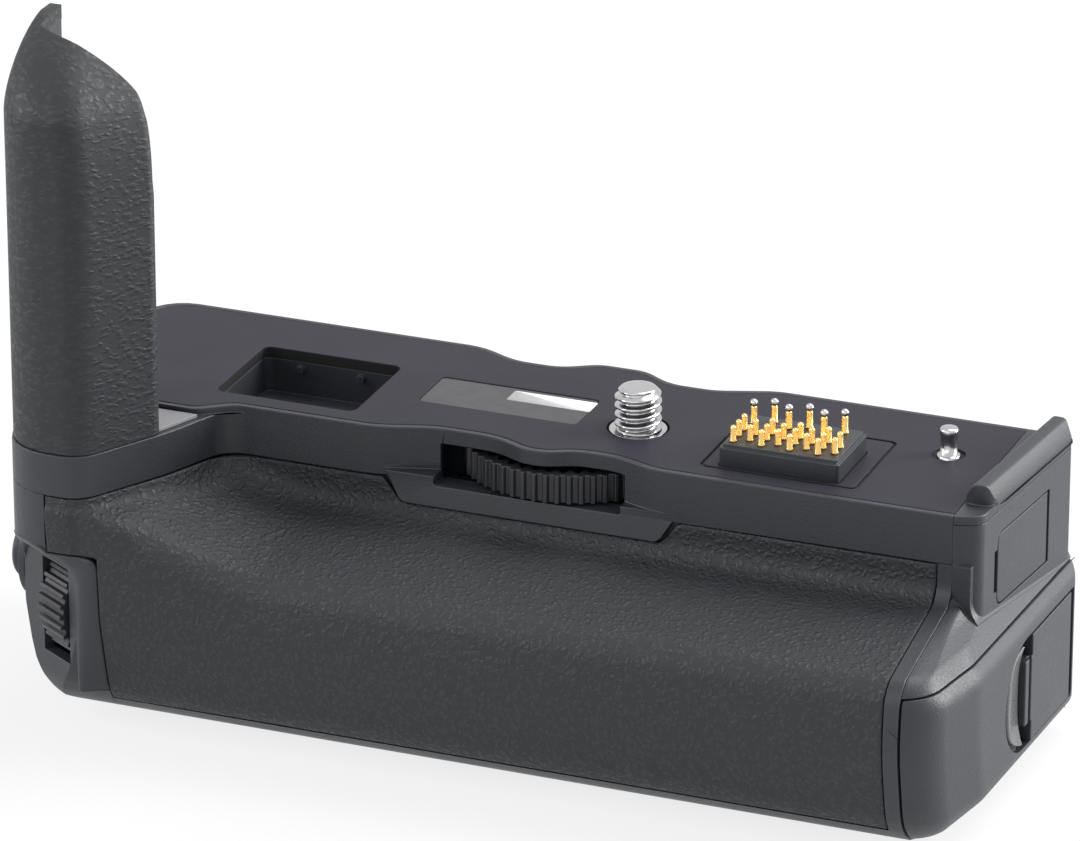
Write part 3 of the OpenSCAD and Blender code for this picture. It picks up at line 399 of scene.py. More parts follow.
def finish_of(slot):
    """The material of a record slot, made the first time it is asked for."""
    if slot not in FINISHES:
        c = colours()
        makers = {
            "black_plastic": lambda n: moulded_finish(n, c.housing),
            "grip_rubber": lambda n: leather_finish(n, c.rubber),
            "cover_rubber": lambda n: moulded_finish(n, shade(c.housing, 1.1), 0.55, 0.4, 0.012),
            "seat_metal": lambda n: painted_finish(n, c.seat),
            "pale_rubber": lambda n: film_finish(n, c.pad, 0.5),
            "label": lambda n: film_finish(n, c.label, 0.5),
            "steel": lambda n: metal_finish(n, c.nickel),
            "gold_pins": lambda n: metal_finish(n, c.gold, 0.22),
            "wheel_plastic": lambda n: moulded_finish(n, c.wheel, 0.36, 0.2, 0.01),
            "board": lambda n: board_finish(n, c.board),
            "battery_case": lambda n: moulded_finish(n, shade(c.housing, 1.6), 0.5, 0.35, 0.015),
            "switch_plastic": lambda n: film_finish(n, (0.25, 0.25, 0.25), 0.5),
            "lamp": lambda n: lens_finish(n, c.lamp),
        }
        FINISHES[slot] = makers[slot](slot)
    return FINISHES[slot]


# Meshes

# Corners of a solid's faces that lie this close, in millimetres, are one corner
JOIN = 0.0002


def solid(name, points, faces):
    """An object from points in millimetres, such as a form to cut or trim a piece with."""
    mesh = bpy.data.meshes.new(name)
    mesh.from_pydata([tuple(float(c) * MM for c in p) for p in points], [], faces)
    made = bpy.data.objects.new(name, mesh)
    bpy.context.scene.collection.objects.link(made)
    return made


def new_piece(name, points, faces, slot, body, replaces=(), material=None):
    """A smooth-shaded piece from points in millimetres, riding on a body."""
    piece = solid(name, points, faces)
    mesh = piece.data
    mesh.validate()
    mesh.polygons.foreach_set("use_smooth", [True] * len(mesh.polygons))
    mesh.materials.append(material or finish_of(slot))
    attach(piece, body)
    if replaces:
        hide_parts(*replaces)
    return piece


def weld(piece, reach):
    """Join corners that lie within that reach, in millimetres."""
    piece.modifiers.new("join", "WELD").merge_threshold = reach * MM


def round_edges(piece, width, segments=2, angle=32, join=JOIN, harden=True):
    """Round a solid's edges, from joined corners and whole flat faces."""
    weld(piece, join)
    flat = piece.modifiers.new("flats", "DECIMATE")
    flat.decimate_type = "DISSOLVE"
    flat.angle_limit = math.radians(0.05)
    edge = piece.modifiers.new("edges", "BEVEL")
    edge.width = width * MM
    edge.segments = segments
    edge.limit_method = "ANGLE"
    edge.angle_limit = math.radians(angle)
    edge.use_clamp_overlap = False
    edge.harden_normals = harden
    edge.miter_outer = "MITER_ARC"


def dress(node, width=None, segments=2, angle=32, material=None, join=JOIN):
    """Give a solid of the frame its finish and rounded edges."""
    piece = frame["nodes"][node]
    mesh = piece.data
    slot = next(s["material_slot"] for s in frame["record"]["subparts"] if s["node"] == node)
    mesh.materials.clear()
    mesh.materials.append(material or finish_of(slot))
    mesh.polygons.foreach_set("material_index", [0] * len(mesh.polygons))
    for shading in ("custom_normal", "sharp_edge"):
        if shading in mesh.attributes:
            mesh.attributes.remove(mesh.attributes[shading])
    mesh.polygons.foreach_set("use_smooth", [True] * len(mesh.polygons))
    round_edges(piece, sizes().edge if width is None else width, segments, angle, join)


def combine(target, other, operation):
    """Join, cut or trim an object with another."""
    cut = target.modifiers.new(operation.lower(), "BOOLEAN")
    cut.operation = operation
    cut.object = other
    cut.solver = "EXACT"


def faired(node, form, operation):
    """A piece that stands for a solid of the frame, with a form cut from it or shared with it."""
    body = next(b for b, nodes in frame["record"]["behaviour"]["bodies"].items() if node in nodes)
    rough = bpy.data.objects.new(node + "_rough", frame["nodes"][node].data.copy())
    bpy.context.scene.collection.objects.link(rough)
    weld(rough, JOIN)
    combine(rough, form, operation)
    bpy.context.view_layer.update()
    depsgraph = bpy.context.evaluated_depsgraph_get()
    mesh = bpy.data.meshes.new_from_object(rough.evaluated_get(depsgraph))
    points = [v.co / MM for v in mesh.vertices]
    faces = [tuple(f.vertices) for f in mesh.polygons]
    if not faces:
        raise RuntimeError(f"{node} was lost in the fairing")
    piece = new_piece(node + "_faired", points, faces, "black_plastic", body, (node,))
    round_edges(piece, sizes().fine_edge, join=0.06, harden=False)
    even = piece.modifiers.new("normals", "WEIGHTED_NORMAL")
    even.keep_sharp = True
    bpy.data.objects.remove(rough)
    bpy.data.objects.remove(form)


def grid_faces(rows, columns, closed=False, flip=False):
    """Quads over a grid of points, row after row; closed joins each row's ends."""
    faces = []
    for i in range(rows - 1):
        for j in range(columns if closed else columns - 1):
            k = (j + 1) % columns
            quad = (i * columns + j, i * columns + k, (i + 1) * columns + k, (i + 1) * columns + j)
            faces.append(quad[::-1] if flip else quad)
    return faces


def tube_faces(rows, n, base=0):
    """Faces of a tube of closed rows of n points, with both ends capped."""
    faces = grid_faces(rows, n, closed=True)
    faces += [tuple(range(n))[::-1], tuple((rows - 1) * n + i for i in range(n))]
    return [tuple(base + i for i in f) for f in faces]


def block_faces(n, flip=False):
    """Faces of a block between an outline of n points and a like one over it."""
    faces = [tuple(range(n))[::-1], tuple(range(n, 2 * n)), *grid_faces(2, n, closed=True)]
    return [f[::-1] for f in faces] if flip else faces


def arc_corner(a, b, c, radius, count):
    """Points of the arc that rounds corner b between a and c."""
    a, b, c = (np.asarray(p, float) for p in (a, b, c))
    u, w = (a - b) / np.linalg.norm(a - b), (c - b) / np.linalg.norm(c - b)
    half = math.acos(max(-1.0, min(1.0, float(u @ w)))) / 2
    middle = b + (u + w) / np.linalg.norm(u + w) * radius / math.sin(half)
    start, end = b + u * radius / math.tan(half) - middle, b + w * radius / math.tan(half) - middle
    first = math.atan2(start[1], start[0])
    turn = (math.atan2(end[1], end[0]) - first + 3 * math.pi) % (2 * math.pi) - math.pi
    return [middle + radius * np.array([math.cos(first + turn * t), math.sin(first + turn * t)])
            for t in np.linspace(0, 1, count + 1)]


def rounded_line(corners, count=10, closed=False):
    """A line through corners given as x, y, radius, with its corners rounded."""
    line = []
    n = len(corners)
    for i, corner in enumerate(corners):
        inner = closed or 0 < i < n - 1
        if corner[2] > 0 and inner:
            before, after = corners[i - 1][:2], corners[(i + 1) % n][:2]
            line += arc_corner(before, corner[:2], after, corner[2], count)
        else:
            line.append(np.array(corner[:2], float))
    return np.array(line)


def resample(line, shares):
    """Points of a line at shares of its length."""
    line = np.asarray(line, float)
    length = np.concatenate([[0], np.cumsum(np.linalg.norm(np.diff(line, axis=0), axis=1))])
    at = np.asarray(shares) * length[-1]
    return np.stack([np.interp(at, length, column) for column in line.T], 1)


def smooth(t):
    """A smooth step from 0 to 1."""
    t = np.clip(t, 0, 1)
    return t * t * (3 - 2 * t)


def turned(profile, at=(0, 0), segments=None, base=0):
    """Points and faces of a piece turned about a vertical axis, from radius and height."""
    n = segments or sizes().turns
    angle = np.linspace(0, 2 * math.pi, n, endpoint=False)
    points = [(at[0] + r * math.cos(a), at[1] + r * math.sin(a), z)
              for r, z in profile for a in angle]
    return points, tube_faces(len(profile), n, base)


def threaded(z0, z1, crest, root, pitch, limit, segments):
    """Points and faces of a threaded rod; limit gives the largest radius at a height."""
    rows = int((z1 - z0) / pitch * 14) + 1
    angle = np.linspace(0, 2 * math.pi, segments, endpoint=False)
    points = []
    for z in np.linspace(z0, z1, rows):
        phase = np.abs(((z / pitch - angle / (2 * math.pi)) % 1) * 2 - 1)
        radius = root + (crest - root) * np.clip((phase - 0.18) / 0.62, 0, 1)
        radius = np.minimum(radius, limit(z))
        points += [(r * math.cos(a), r * math.sin(a), z) for r, a in zip(radius, angle)]
    return points, grid_faces(rows, segments, closed=True)


# Lines of the hand grip, which follow the solids

LEFT = low("upper_frame")[0]
BAND_FRONT = -12.8
BAND_LOW = low("upper_frame")[2] + 3.1
SKIN_RIGHT = high("front_skin")[0]
SKIN_LOW = low("front_skin")[2]
NOSE = low("upper_frame")[1]
GRIP_FRONT = -34.0
SHOULDER = -12.0
BASE = -41.0
WHEEL = (np.array(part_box("wheel_axle")[0]) + np.array(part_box("wheel_axle")[1])) / 2 / MM
# Outline of the riser's foot, round to the band's straight front
FOOT_X = LEFT + 24
FOOT_LINE = rounded_line(
    [(LEFT, 0, 0), (LEFT, NOSE, 8), (LEFT + 12.8, NOSE, 5), (LEFT + 19.8, NOSE + 12.5, 20),
     (FOOT_X, BAND_FRONT, 4.5), (FOOT_X + 20, BAND_FRONT, 0)], 16)
# Stretch of the hand grip that rises to the riser's foot
SADDLE = (LEFT + 11, LEFT + 38)
# Ends of the wheel's apron, its lower edge, and how far its sides lead and slope
APRON = (WHEEL[0] - 21.8, WHEEL[0] + 20.2, BAND_LOW - 3.1)
APRON_LEAD, APRON_SLOPE = 0.2, 2.6


def foot_front(x):
    """Front of the band over the hand grip at that x."""
    a, b = FOOT_LINE[:-1], FOOT_LINE[1:]
    hit = (a[:, 0] <= x) != (b[:, 0] <= x)
    if x > FOOT_X + 14 or not hit.any():
        return BAND_FRONT
    a, b = a[hit], b[hit]
    y = a[:, 1] + (b[:, 1] - a[:, 1]) * (x - a[:, 0]) / (b[:, 0] - a[:, 0])
    return min(BAND_FRONT, float(np.min(y)))


def hand_section(x):
    """Section of the hand grip at x, from the band down to the underside."""
    rise = float(smooth((SADDLE[1] - x) / (SADDLE[1] - SADDLE[0])))
    top = foot_front(x)
    front = min((GRIP_FRONT + 0.8) * (1 - rise) + NOSE * rise, top - 0.5)
    span = top - front
    level = lambda a, b: a * (1 - rise) + b * rise
    return rounded_line([
        (top, BAND_LOW, 0),
        (top, level(SHOULDER, BAND_LOW - 1.2), min(3 + 5 * rise, 0.3 * span)),
        (front, level(SHOULDER - 4.2, BAND_LOW - 2.2), min(4.2, 0.3 * span)),
        (level(GRIP_FRONT, GRIP_FRONT - 0.4), SHOULDER - 13, 25),
        (GRIP_FRONT + 3.2, BASE, 9),
        (6, BASE, 0)], 14)


def skin_top(x):
    """Upper border of the skin, which steps down round the wheel's apron."""
    inside = np.minimum(x - APRON[0], APRON[1] - x)
    share = np.clip((inside + APRON_LEAD) / APRON_SLOPE, 0, 1)
    return BAND_LOW - (BAND_LOW - APRON[2]) * share


# Left border of the skin: beside the end cover's seam and, under the step, beside the facet
SKIN_LEFT = (LEFT + 7.4, LEFT + 14.5)
SKIN_STEP = -15.45
# Distances from the skin's cut edge that carry points of its rolled border
LIP = np.array([0, 0.06, 0.14, 0.26, 0.42, 0.7])


def borders(count, length):
    """Shares from 0 to 1 with a few close to both ends, for a rolled edge."""
    near = LIP / length
    inner = np.linspace(near[-1], 1 - near[-1], count)[1:-1]
    return np.concatenate([near, inner, 1 - near[::-1]])


class GRIP_OT_shells(bpy.types.Operator):
    """Finish the moulded shells of the housing"""

    bl_idname = "grip.shells"
    bl_label = "Shells"

    def execute(self, context):
        # Box deep in the wheel's window, where shade is painted into the frame's plastic
        painted_shade_window = ((WHEEL[0] - 24, WHEEL[0] + 24), (BAND_FRONT + 3.2, 8.0), (-12.0, -0.6))
        plastic = moulded_finish("frame_plastic_painted_shade", colours().housing, inside=painted_shade_window)
        dress("upper_frame", material=plastic)
        dress("lower_housing", sizes().fine_edge, join=0.08)
        dress("side_fence")
        return {"FINISHED"}


class GRIP_OT_facet_rim(bpy.types.Operator):
    """Loft the rounded rim between the left end's walls and the front dial's facet"""

    bl_idname = "grip.facet_rim"
    bl_label = "Facet rim"

    start = np.array([LEFT, GRIP_FRONT + 7.4])
    end = np.array([LEFT + 12, GRIP_FRONT - 0.2])
    foot_z = -18.0
    slope = 5 / 6
    crown = 0.85
    roll = 6.0
    columns = 90
    # Depths and reach of the cutter that rolls the facet's foot, well past the cover's faces
    outside, below, reach = -6, BASE - 3, (-30, 40)

    def execute(self, context):
        along = (self.end - self.start) / np.linalg.norm(self.end - self.start)
        out = np.array([along[1], -along[0]])
        self.roll_under(along, out)
        n = self.columns
        shares = np.linspace(0, 1, n)
        foot = SKIN_LOW + 1.5
        # Over the facet the rim follows the wall; beside it, the skin's own border
        wall = resample(FOOT_LINE, np.linspace(0, 1, 900))
        stand = (wall - self.start) @ out
        keep = (stand > 0.02) & (wall[:, 0] < SKIN_LEFT[0] - 0.2)
        arch = [(x, y, self.foot_z + h * self.slope) for (x, y), h in zip(wall[keep], stand[keep])]
        side_x, step_z = SKIN_LEFT[1] - 0.1, SKIN_STEP - 0.1
        corner = rounded_line(
            [(SKIN_LEFT[0], step_z, 0), (side_x, step_z, 1.4), (side_x, foot, 0)], 8)
        side = [(x, self.front(x, z), z) for x, z in resample(corner, np.linspace(0, 1, 60))]
        outer = resample(np.array(arch + side), shares)
        top = self.foot_z - 0.2
        border = rounded_line(
            [(0.4, self.foot_z - 3.5, 0), (0.4, top, 2.2), (12.2, top, 3.0), (13.0, foot, 0)], 12)
        inner = np.array([(*(self.start + along * u - out * self.depth(z)), z)
                          for u, z in resample(border, shares)])
        lift = np.array([*out, 0.25]) * smooth(np.arange(n) / 16)[:, None]
        rows = [outer - lift * 0.5]
        for t in np.linspace(0, 1, 9):
            crown = self.crown * math.sin(math.pi * t) ** 0.75
            rows.append(outer * (1 - t) + inner * t + lift * crown)
        rows.append(inner - lift * 0.5)
        points = np.array(rows).reshape(-1, 3)
        count = len(rows)
        last = n * (count - 1)
        faces = grid_faces(count, n)
        faces += [(last + i, last + i + 1, i + 1, i) for i in range(n - 1)]
        faces.append(tuple(n * k for k in range(count))[::-1])
        faces.append(tuple(n * k + n - 1 for k in range(count)))
        new_piece("facet_rim", points, faces, "black_plastic", "housing")
        return {"FINISHED"}

    def depth(self, z):
        """How far the facet has rolled inward at that height."""
        down = max(0.0, BASE + self.roll - z)
        return self.roll - math.sqrt(max(0.0, self.roll ** 2 - down ** 2))

    def roll_under(self, along, out):
        """Round the facet's foot into the underside."""
        levels = BASE + self.roll * (1 - np.sin(np.linspace(0, math.pi / 2, 25)))
        profile = [(self.outside, levels[0])] + [(self.depth(z), z) for z in levels]
        profile += [(self.roll, self.below), (self.outside, self.below)]
        points = [(*(self.start + along * u - out * d), z) for u in self.reach for d, z in profile]
        cutter = solid("facet_roll", points, block_faces(len(profile), flip=True))
        faired("left_end_cover", cutter, "DIFFERENCE")

    @staticmethod
    def front(x, z):
        """Front of the hand grip at that place, just under the skin's face."""
        line = hand_section(x)
        height = np.minimum.accumulate(line[:, 1])
        return float(np.interp(-z, -height, line[:, 0])) + 0.15


class GRIP_OT_seat(bpy.types.Operator):
    """Finish the seat plate, its label, the cap pocket and the pale pad"""

    bl_idname = "grip.seat"
    bl_label = "Camera seat"

    strip = ((-20, 2.6), (-7.9, 2.6), (-7.9, 5.9), (-20, 5.9))

    def execute(self, context):
        dress("seat_plate", sizes().plate_edge)
        dress("cap_holder", sizes().fine_edge)
        dress("grip_seat_pad", sizes().fine_edge)
        dress("label_plate", sizes().fine_edge)
        top = high("label_plate")[2]
        outline = rounded_line([(x, y, 0.25) for x, y in self.strip], 4, True)
        points = [(x, y, top + dz) for dz in (-0.02, 0.03) for x, y in outline]
        new_piece("label_strip", points, block_faces(len(outline)), "label", "housing", (),
                  film_finish("blank_strip", colours().strip, 0.6))
        return {"FINISHED"}


class GRIP_OT_hand_skin(bpy.types.Operator):
    """Build the grained skin of the hand grip"""

    bl_idname = "grip.hand_skin"
    bl_label = "Hand grip skin"

    gap = 0.12
    thickness = 0.7

    def execute(self, context):
        gap = self.gap
        start, inner, end = SKIN_LEFT[0] + gap, SKIN_LEFT[1] + gap, SKIN_RIGHT - gap
        xs = np.concatenate([
            start + LIP, np.linspace(start + 1.2, inner - 0.5, 10), inner + LIP,
            np.linspace(inner + 1.2, end - 1.2, 165), end - LIP[::-1]])
        tab = int(np.argmin(np.abs(xs - inner)))
        near = LIP / 9
        above = np.concatenate([near, np.linspace(0.14, 0.90, 14), 1 - near[::-1]])
        below = borders(62, 30.0)[1:]
        lines = []
        for x in xs:
            line = self.trim(hand_section(x), skin_top(x) - gap, SKIN_LOW + gap)
            lines.append(np.vstack([
                resample(self.trim(line, line[0, 1], SKIN_STEP + gap), above),
                resample(self.trim(line, SKIN_STEP + gap, line[-1, 1]), below)]))
        grid = np.array([[(x, *p) for p in line] for x, line in zip(xs, lines)]).transpose(1, 0, 2)
        rows, columns, step = grid.shape[0], len(xs), len(above) - 1
        points = self.roll(grid, step, tab)
        faces = []
        for f in grid_faces(rows, columns, flip=True):
            row, column = divmod(min(f), columns)
            if row < step or column >= tab:
                faces.append(f)
        used = sorted({i for f in faces for i in f})
        place = {old: new for new, old in enumerate(used)}
        faces = [tuple(place[i] for i in f) for f in faces]
        piece = new_piece("hand_grip_skin", [points[i] for i in used], faces,
                          "grip_rubber", "housing", ("front_skin",))
        inward = piece.modifiers.new("thickness", "SOLIDIFY")
        inward.thickness = self.thickness * MM
        inward.offset = -1
        return {"FINISHED"}

    @staticmethod
    def roll(grid, step, tab, depth=0.35, reach=0.42):
        """Turn the skin's outer edge inward, as a trimmed skin's edge rolls under."""
        normal = np.cross(np.gradient(grid, axis=0), np.gradient(grid, axis=1))
        normal /= np.maximum(np.linalg.norm(normal, axis=2, keepdims=True), 1e-9)
        if normal[grid.shape[0] // 2, grid.shape[1] // 2, 1] > 0:
            normal = -normal
        length = lambda axis: np.linalg.norm(np.diff(grid, axis=axis), axis=2)
        along = np.pad(np.cumsum(length(1), 1), ((0, 0), (1, 0)))
        down = np.pad(np.cumsum(length(0), 0), ((1, 0), (0, 0)))
        left = along.copy()
        left[step + 1:] -= along[step + 1:, tab:tab + 1]
        bottom = down[-1:] - down
        bottom[:, :tab] = down[step:step + 1, :tab] - down[:, :tab]
        near = np.min([np.abs(left), along[:, -1:] - along, down, np.abs(bottom)], axis=0)
        sink = depth * (1 - np.sqrt(np.clip(1 - (1 - np.clip(near / reach, 0, 1)) ** 2, 0, 1)))
        return (grid - normal * sink[..., None]).reshape(-1, 3)

    @staticmethod
    def trim(line, z_top, z_low):
        """The part of a falling line between two heights."""
        z = line[:, 1]
        order = np.minimum.accumulate(z)
        keep = (order < z_top) & (order > z_low)
        cut = lambda level: np.array([np.interp(-level, -order, line[:, 0]), level])
        return np.vstack([cut(z_top), line[keep], cut(z_low)])


class GRIP_OT_riser(bpy.types.Operator):
    """Build the grained skin of the riser over its core"""

    bl_idname = "grip.riser"
    bl_label = "Riser"

    x0 = low("column_skin")[0]
    y0 = low("column_skin")[1]
    x1 = high("column_skin")[0]
    back = -16.1
    top = high("column_skin")[2]
    foot = low("column_skin")[2]
    tip_y = -17.5
    tip_in = 1.2
    fin = 2.6
    wall = 1.2
    plane = 0.02
    # How far below the tip each side starts to draw in, and the power of its curve
    right_draw, front_draw, left_draw = (24.2, 3.3), (10.1, 1.6), (13.9, 2)
    hollow = (x0 + 11.2, y0 + 10 + 15.8, 15.8)

    @staticmethod
    def draw_in(below, draw):
        """Share of a side's width that is left at a depth below the tip."""
        reach, power = draw
        return (1 - np.clip(1 - below / reach, 0, 1) ** power) ** (1 / power)

    @classmethod
    def rise(cls, c, z):
        """Where contour point c is at heights z."""
        below = cls.top + 0.3 - z
        right = cls.draw_in(below, cls.right_draw)
        front = cls.draw_in(below, cls.front_draw)
        left = 1 - cls.draw_in(below, cls.left_draw)
        across = (c[0] - cls.x0) / (cls.x1 - cls.x0)
        x = cls.x0 + (c[0] - cls.x0) * right + cls.tip_in * left * (1 - across)
        y = np.where(c[1] < cls.tip_y, cls.tip_y + (c[1] - cls.tip_y) * front, c[1])
        return np.stack([x, y + 0 * x, z + 0 * x], 1)

    def execute(self, context):
        dress("column_core", sizes().thin_edge, 1, 40)
        contour = rounded_line([
            (self.x0, self.back, 0), (self.x0, self.y0, 8), (self.x0 + 12.7, self.y0, 5),
            (self.x1, self.y0 + 10.8, 0.6), (self.x1, self.hollow_y(self.x1), 0)], 18)
        shares = np.linspace(0, 1, 130)
        # Two columns close together where the rim leaves the hollow and runs up to the tip
        is_cut = lambda share: self.path(resample(contour, [share])[0])[-1][2] < self.top - 0.05
        first = next(i for i, share in enumerate(shares) if is_cut(share))
        near, far = shares[first - 1], shares[first]
        for _ in range(18):
            middle = (near + far) / 2
            near, far = (near, middle) if is_cut(middle) else (middle, far)
        shares = np.sort(np.append(shares, [near, far]))
        rows = 120
        heights = np.linspace(0, 1, rows)
        columns = [resample(self.path(c), heights) for c in resample(contour, shares)]
        grid = np.array(columns).transpose(1, 0, 2)
        n = len(shares)
        points = list(grid.reshape(-1, 3))
        faces = grid_faces(rows, n)
        # Cut edge of the skin at the rim, at the back of the left wall and beside the hollow
        rim = grid[-1]
        fin_x = self.x0 + self.fin
        flat = lambda line, x: line * (0, 1, 1) + (x, 0, 0)
        tip = rim[:, 2] > self.top - 0.05
        inner = np.where(tip[:, None], flat(rim, fin_x), self.lip(rim))
        left, right = grid[:, 0], grid[:, -1]
        width = self.wall + (self.fin - self.wall) * smooth((left[:, 2] - self.top + 4) / 2)
        back = flat(left, 0) + np.stack([self.x0 + width, 0 * width + self.plane, 0 * width], 1)
        # The line up to the tip and back along its top, in the plane of the left wall's inner face
        rise = self.path(resample(contour, [near])[0])
        rise = rise[rise[:, 2] > self.path(resample(contour, [far])[0])[-1][2] - 0.1]
        side = flat(np.vstack([rise, rim[tip][::-1]]), fin_x + self.plane)
        behind = np.minimum(1.2, self.back - side[:, 1])
        under = side + np.stack([0 * behind, behind, 0 * behind - 1.8], 1)
        across = self.hollow_y(self.x1 - self.wall) - self.hollow_y(self.x1)
        for edge, other, flip in (
            (rim, inner, False),
            (left, back, True),
            (side, under, False),
            (rise, flat(rise, fin_x + self.plane), False),
            (right, right + (-self.wall, across, 0), False),
        ):
            base = len(points)
            points += list(edge) + list(other)
            faces += [tuple(base + i for i in f) for f in grid_faces(2, len(edge), flip=flip)]
        new_piece("riser_skin", points, faces, "grip_rubber", "housing", ("column_skin",),
                  leather_finish("riser_rubber", colours().rubber, (0.55, 0.55, 1.1), 0.6))
        return {"FINISHED"}

    @classmethod
    def lip(cls, rim, width=1.8, stand=0.08):
        """The rim moved over the hollow's face, square to its own line."""
        hx, hy, hr = cls.hollow
        facing = np.stack([hx - rim[:, 0], hy - rim[:, 1], 0 * rim[:, 0]], 1) / hr
        inward = np.cross(np.gradient(rim, axis=0), facing)
        inward /= np.maximum(np.linalg.norm(inward, axis=1, keepdims=True), 1e-9)
        inward *= np.where(inward @ (-1, 0, -1) > 0, 1, -1)[:, None]
        return rim + inward * width + facing * stand

    def path(self, c):
        """The line that contour point c rises along, up to the rim."""
        levels = np.concatenate([
            np.linspace(self.foot + 0.12, self.top - 24, 30),
            self.top - 24 + 24 * np.sin(np.linspace(0, math.pi / 2, 600)[1:])])
        line = self.rise(c, levels)
        hx, hy, hr = self.hollow
        inside = np.hypot(line[:, 0] - hx, line[:, 1] - hy) < hr
        inside &= line[:, 0] > self.x0 + self.fin
        # A point beside the hollow's own edge counts only from the dome on
        inside[:60] = False
        return line[:np.argmax(inside)] if inside.any() else line

    @classmethod
    def hollow_y(cls, x):
        """Front of the hollow at that x."""
        hx, hy, hr = cls.hollow
        return hy - math.sqrt(hr * hr - (x - hx) ** 2)


class GRIP_OT_screw(bpy.types.Operator):
    """Cut the camera screw's thread, and finish its gear, bush and clip"""

    bl_idname = "grip.screw"
    bl_label = "Camera screw"

    # Start of the thread, height of the crown, radii of the shank and its foot
    start, crown, shank, foot = 0.1, 0.12, 2.88, 2.0

    def execute(self, context):
        crest, top = high("camera_screw")[0], high("camera_screw")[2]
        pitch = sizes().pitch
        root = crest - 0.61 * pitch
        n = sizes().turns * 2
        chamfer = lambda z: crest - max(0.0, z - (top - 0.95)) * 0.9
        points, faces = threaded(self.start, top - self.crown, crest, root, pitch, chamfer, n)
        # Crown of the screw's end
        ring = len(points)
        angle = np.linspace(0, 2 * math.pi, n, endpoint=False)
        for r, dz in ((crest - 1.05, 0.10), (crest - 1.5, self.crown)):
            points += [(r * math.cos(a), r * math.sin(a), top - self.crown + dz) for a in angle]
        faces += [tuple(ring - n + i for i in f) for f in grid_faces(3, n, closed=True)]
        faces.append(tuple(ring + n + i for i in range(n)))
        stem = [(self.foot, low("camera_screw")[2]), (self.foot, -2.95), (self.shank, -2.9),
                (self.shank, self.start), (root, self.start)]
        more, more_faces = turned(stem, segments=n, base=len(points))
        new_piece("tripod_screw", points + more, faces + more_faces, "steel", "camera_screw",
                  ("camera_screw",))
        for node in ("screw_pinion", "screw_clip", "screw_bush", "wheel_axle"):
            dress(node, sizes().gear_edge)
        return {"FINISHED"}


class GRIP_OT_thumbwheel(bpy.types.Operator):
    """Finish the ribbed thumbwheel"""

    bl_idname = "grip.thumbwheel"
    bl_label = "Thumbwheel"

    def execute(self, context):
        dress("thumbwheel", sizes().thin_edge)
        return {"FINISHED"}


class GRIP_OT_connector(bpy.types.Operator):
    """Build the contact block's pins with domed tips"""

    bl_idname = "grip.connector"
    bl_label = "Connector"

    # Start and spacing of each kind's rows from the block's corner, and how many
    short = ((1.5, 1.6), (3.95, 1.05), 4, 5)
    tall = ((1.9, 8.4), (4.95, 1.2), 3, 2)
    ball = 0.55

    def execute(self, context):
        dress("connector_block", sizes().plate_edge)
        top = high("connector_block")[2]
        short, tall = self.places(*self.short), self.places(*self.tall)
        self.pins("contact_pins_short", short, top, 2.3, 0.42, ("contact_pins",))
        self.pins("contact_pins_tall", tall, top, 2.6, 0.44, ())
        tip = [(self.ball * math.cos(t), top + 2.95 + self.ball * math.sin(t))
               for t in np.linspace(-1.2, 1.45, 9)]
        new_piece("contact_tips", *self.turned_row(tip, tall, 20), "steel", "housing")
        return {"FINISHED"}

    @staticmethod
    def places(start, step, count, rows):
        """Places of pins in staggered rows."""
        x, y = low("connector_block")[:2] + start
        return [(x + step[0] * (k + (row % 2) / 2), y + step[1] * row)
                for row in range(rows) for k in range(count)]

    @staticmethod
    def turned_row(profile, places, segments):
        """Points and faces of like turned pieces at several places."""
        points, faces = [], []
        for at in places:
            add, rings = turned(profile, at, segments, len(points))
            points += add
            faces += rings
        return points, faces

    def pins(self, name, places, base, height, radius, replaces):
        """Build like pins as one piece, each with a collar and a domed tip."""
        top, collar = base + height, radius * 1.25
        profile = [(collar, base - 0.05), (collar, base + 0.25), (radius, base + 0.4),
                   (radius, top - 0.35), (radius * 0.8, top - 0.12), (radius * 0.4, top)]
        points, faces = self.turned_row(profile, places, 16)
        new_piece(name, points, faces, "gold_pins", "housing", replaces)


class GRIP_OT_guide_pin(bpy.types.Operator):
    """Turn the guide pin with its rounded head"""

    bl_idname = "grip.guide_pin"
    bl_label = "Guide pin"

    radius = 1.25

    def execute(self, context):
        corner, other = low("guide_pin"), high("guide_pin")
        at, top = (corner + other)[:2] / 2, other[2]
        r = self.radius
        flange, neck = r + 0.3, r - 0.12
        profile = [(flange, -1.6), (flange, -0.02), (r + 0.2, 0.02), (neck, 0.05),
                   (neck, top - 1.2), (r, top - 1.0), (r, top - 0.35), (r - 0.14, top - 0.1),
                   (r - 0.42, top)]
        points, faces = turned(profile, at)
        new_piece("locating_pin", points, faces, "steel", "housing", ("guide_pin",))
        return {"FINISHED"}


class GRIP_OT_dials(bpy.types.Operator):
    """Finish the two command dials"""

    bl_idname = "grip.dials"
    bl_label = "Command dials"

    def execute(self, context):
        for node in ("front_dial", "rear_dial"):
            dress(node, sizes().thin_edge)
            for fitting in ("shaft", "bracket"):
                dress(f"{node}_{fitting}", sizes().fine_edge)
        return {"FINISHED"}


class GRIP_OT_buttons(bpy.types.Operator):
    """Finish the shutter release, buttons, focus stick and lamps"""

    bl_idname = "grip.buttons"
    bl_label = "Buttons"

    def execute(self, context):
        for node in ("shutter_button", "shutter_collar", "lock_button_left", "lock_button_right",
                     "menu_button", "focus_stick"):
            dress(node, sizes().button_edge)
        for node in ("stick_gimbal", "stick_base", "status_lamps", "shutter_switch",
                     "button_switches"):
            dress(node, sizes().fine_edge)
        return {"FINISHED"}


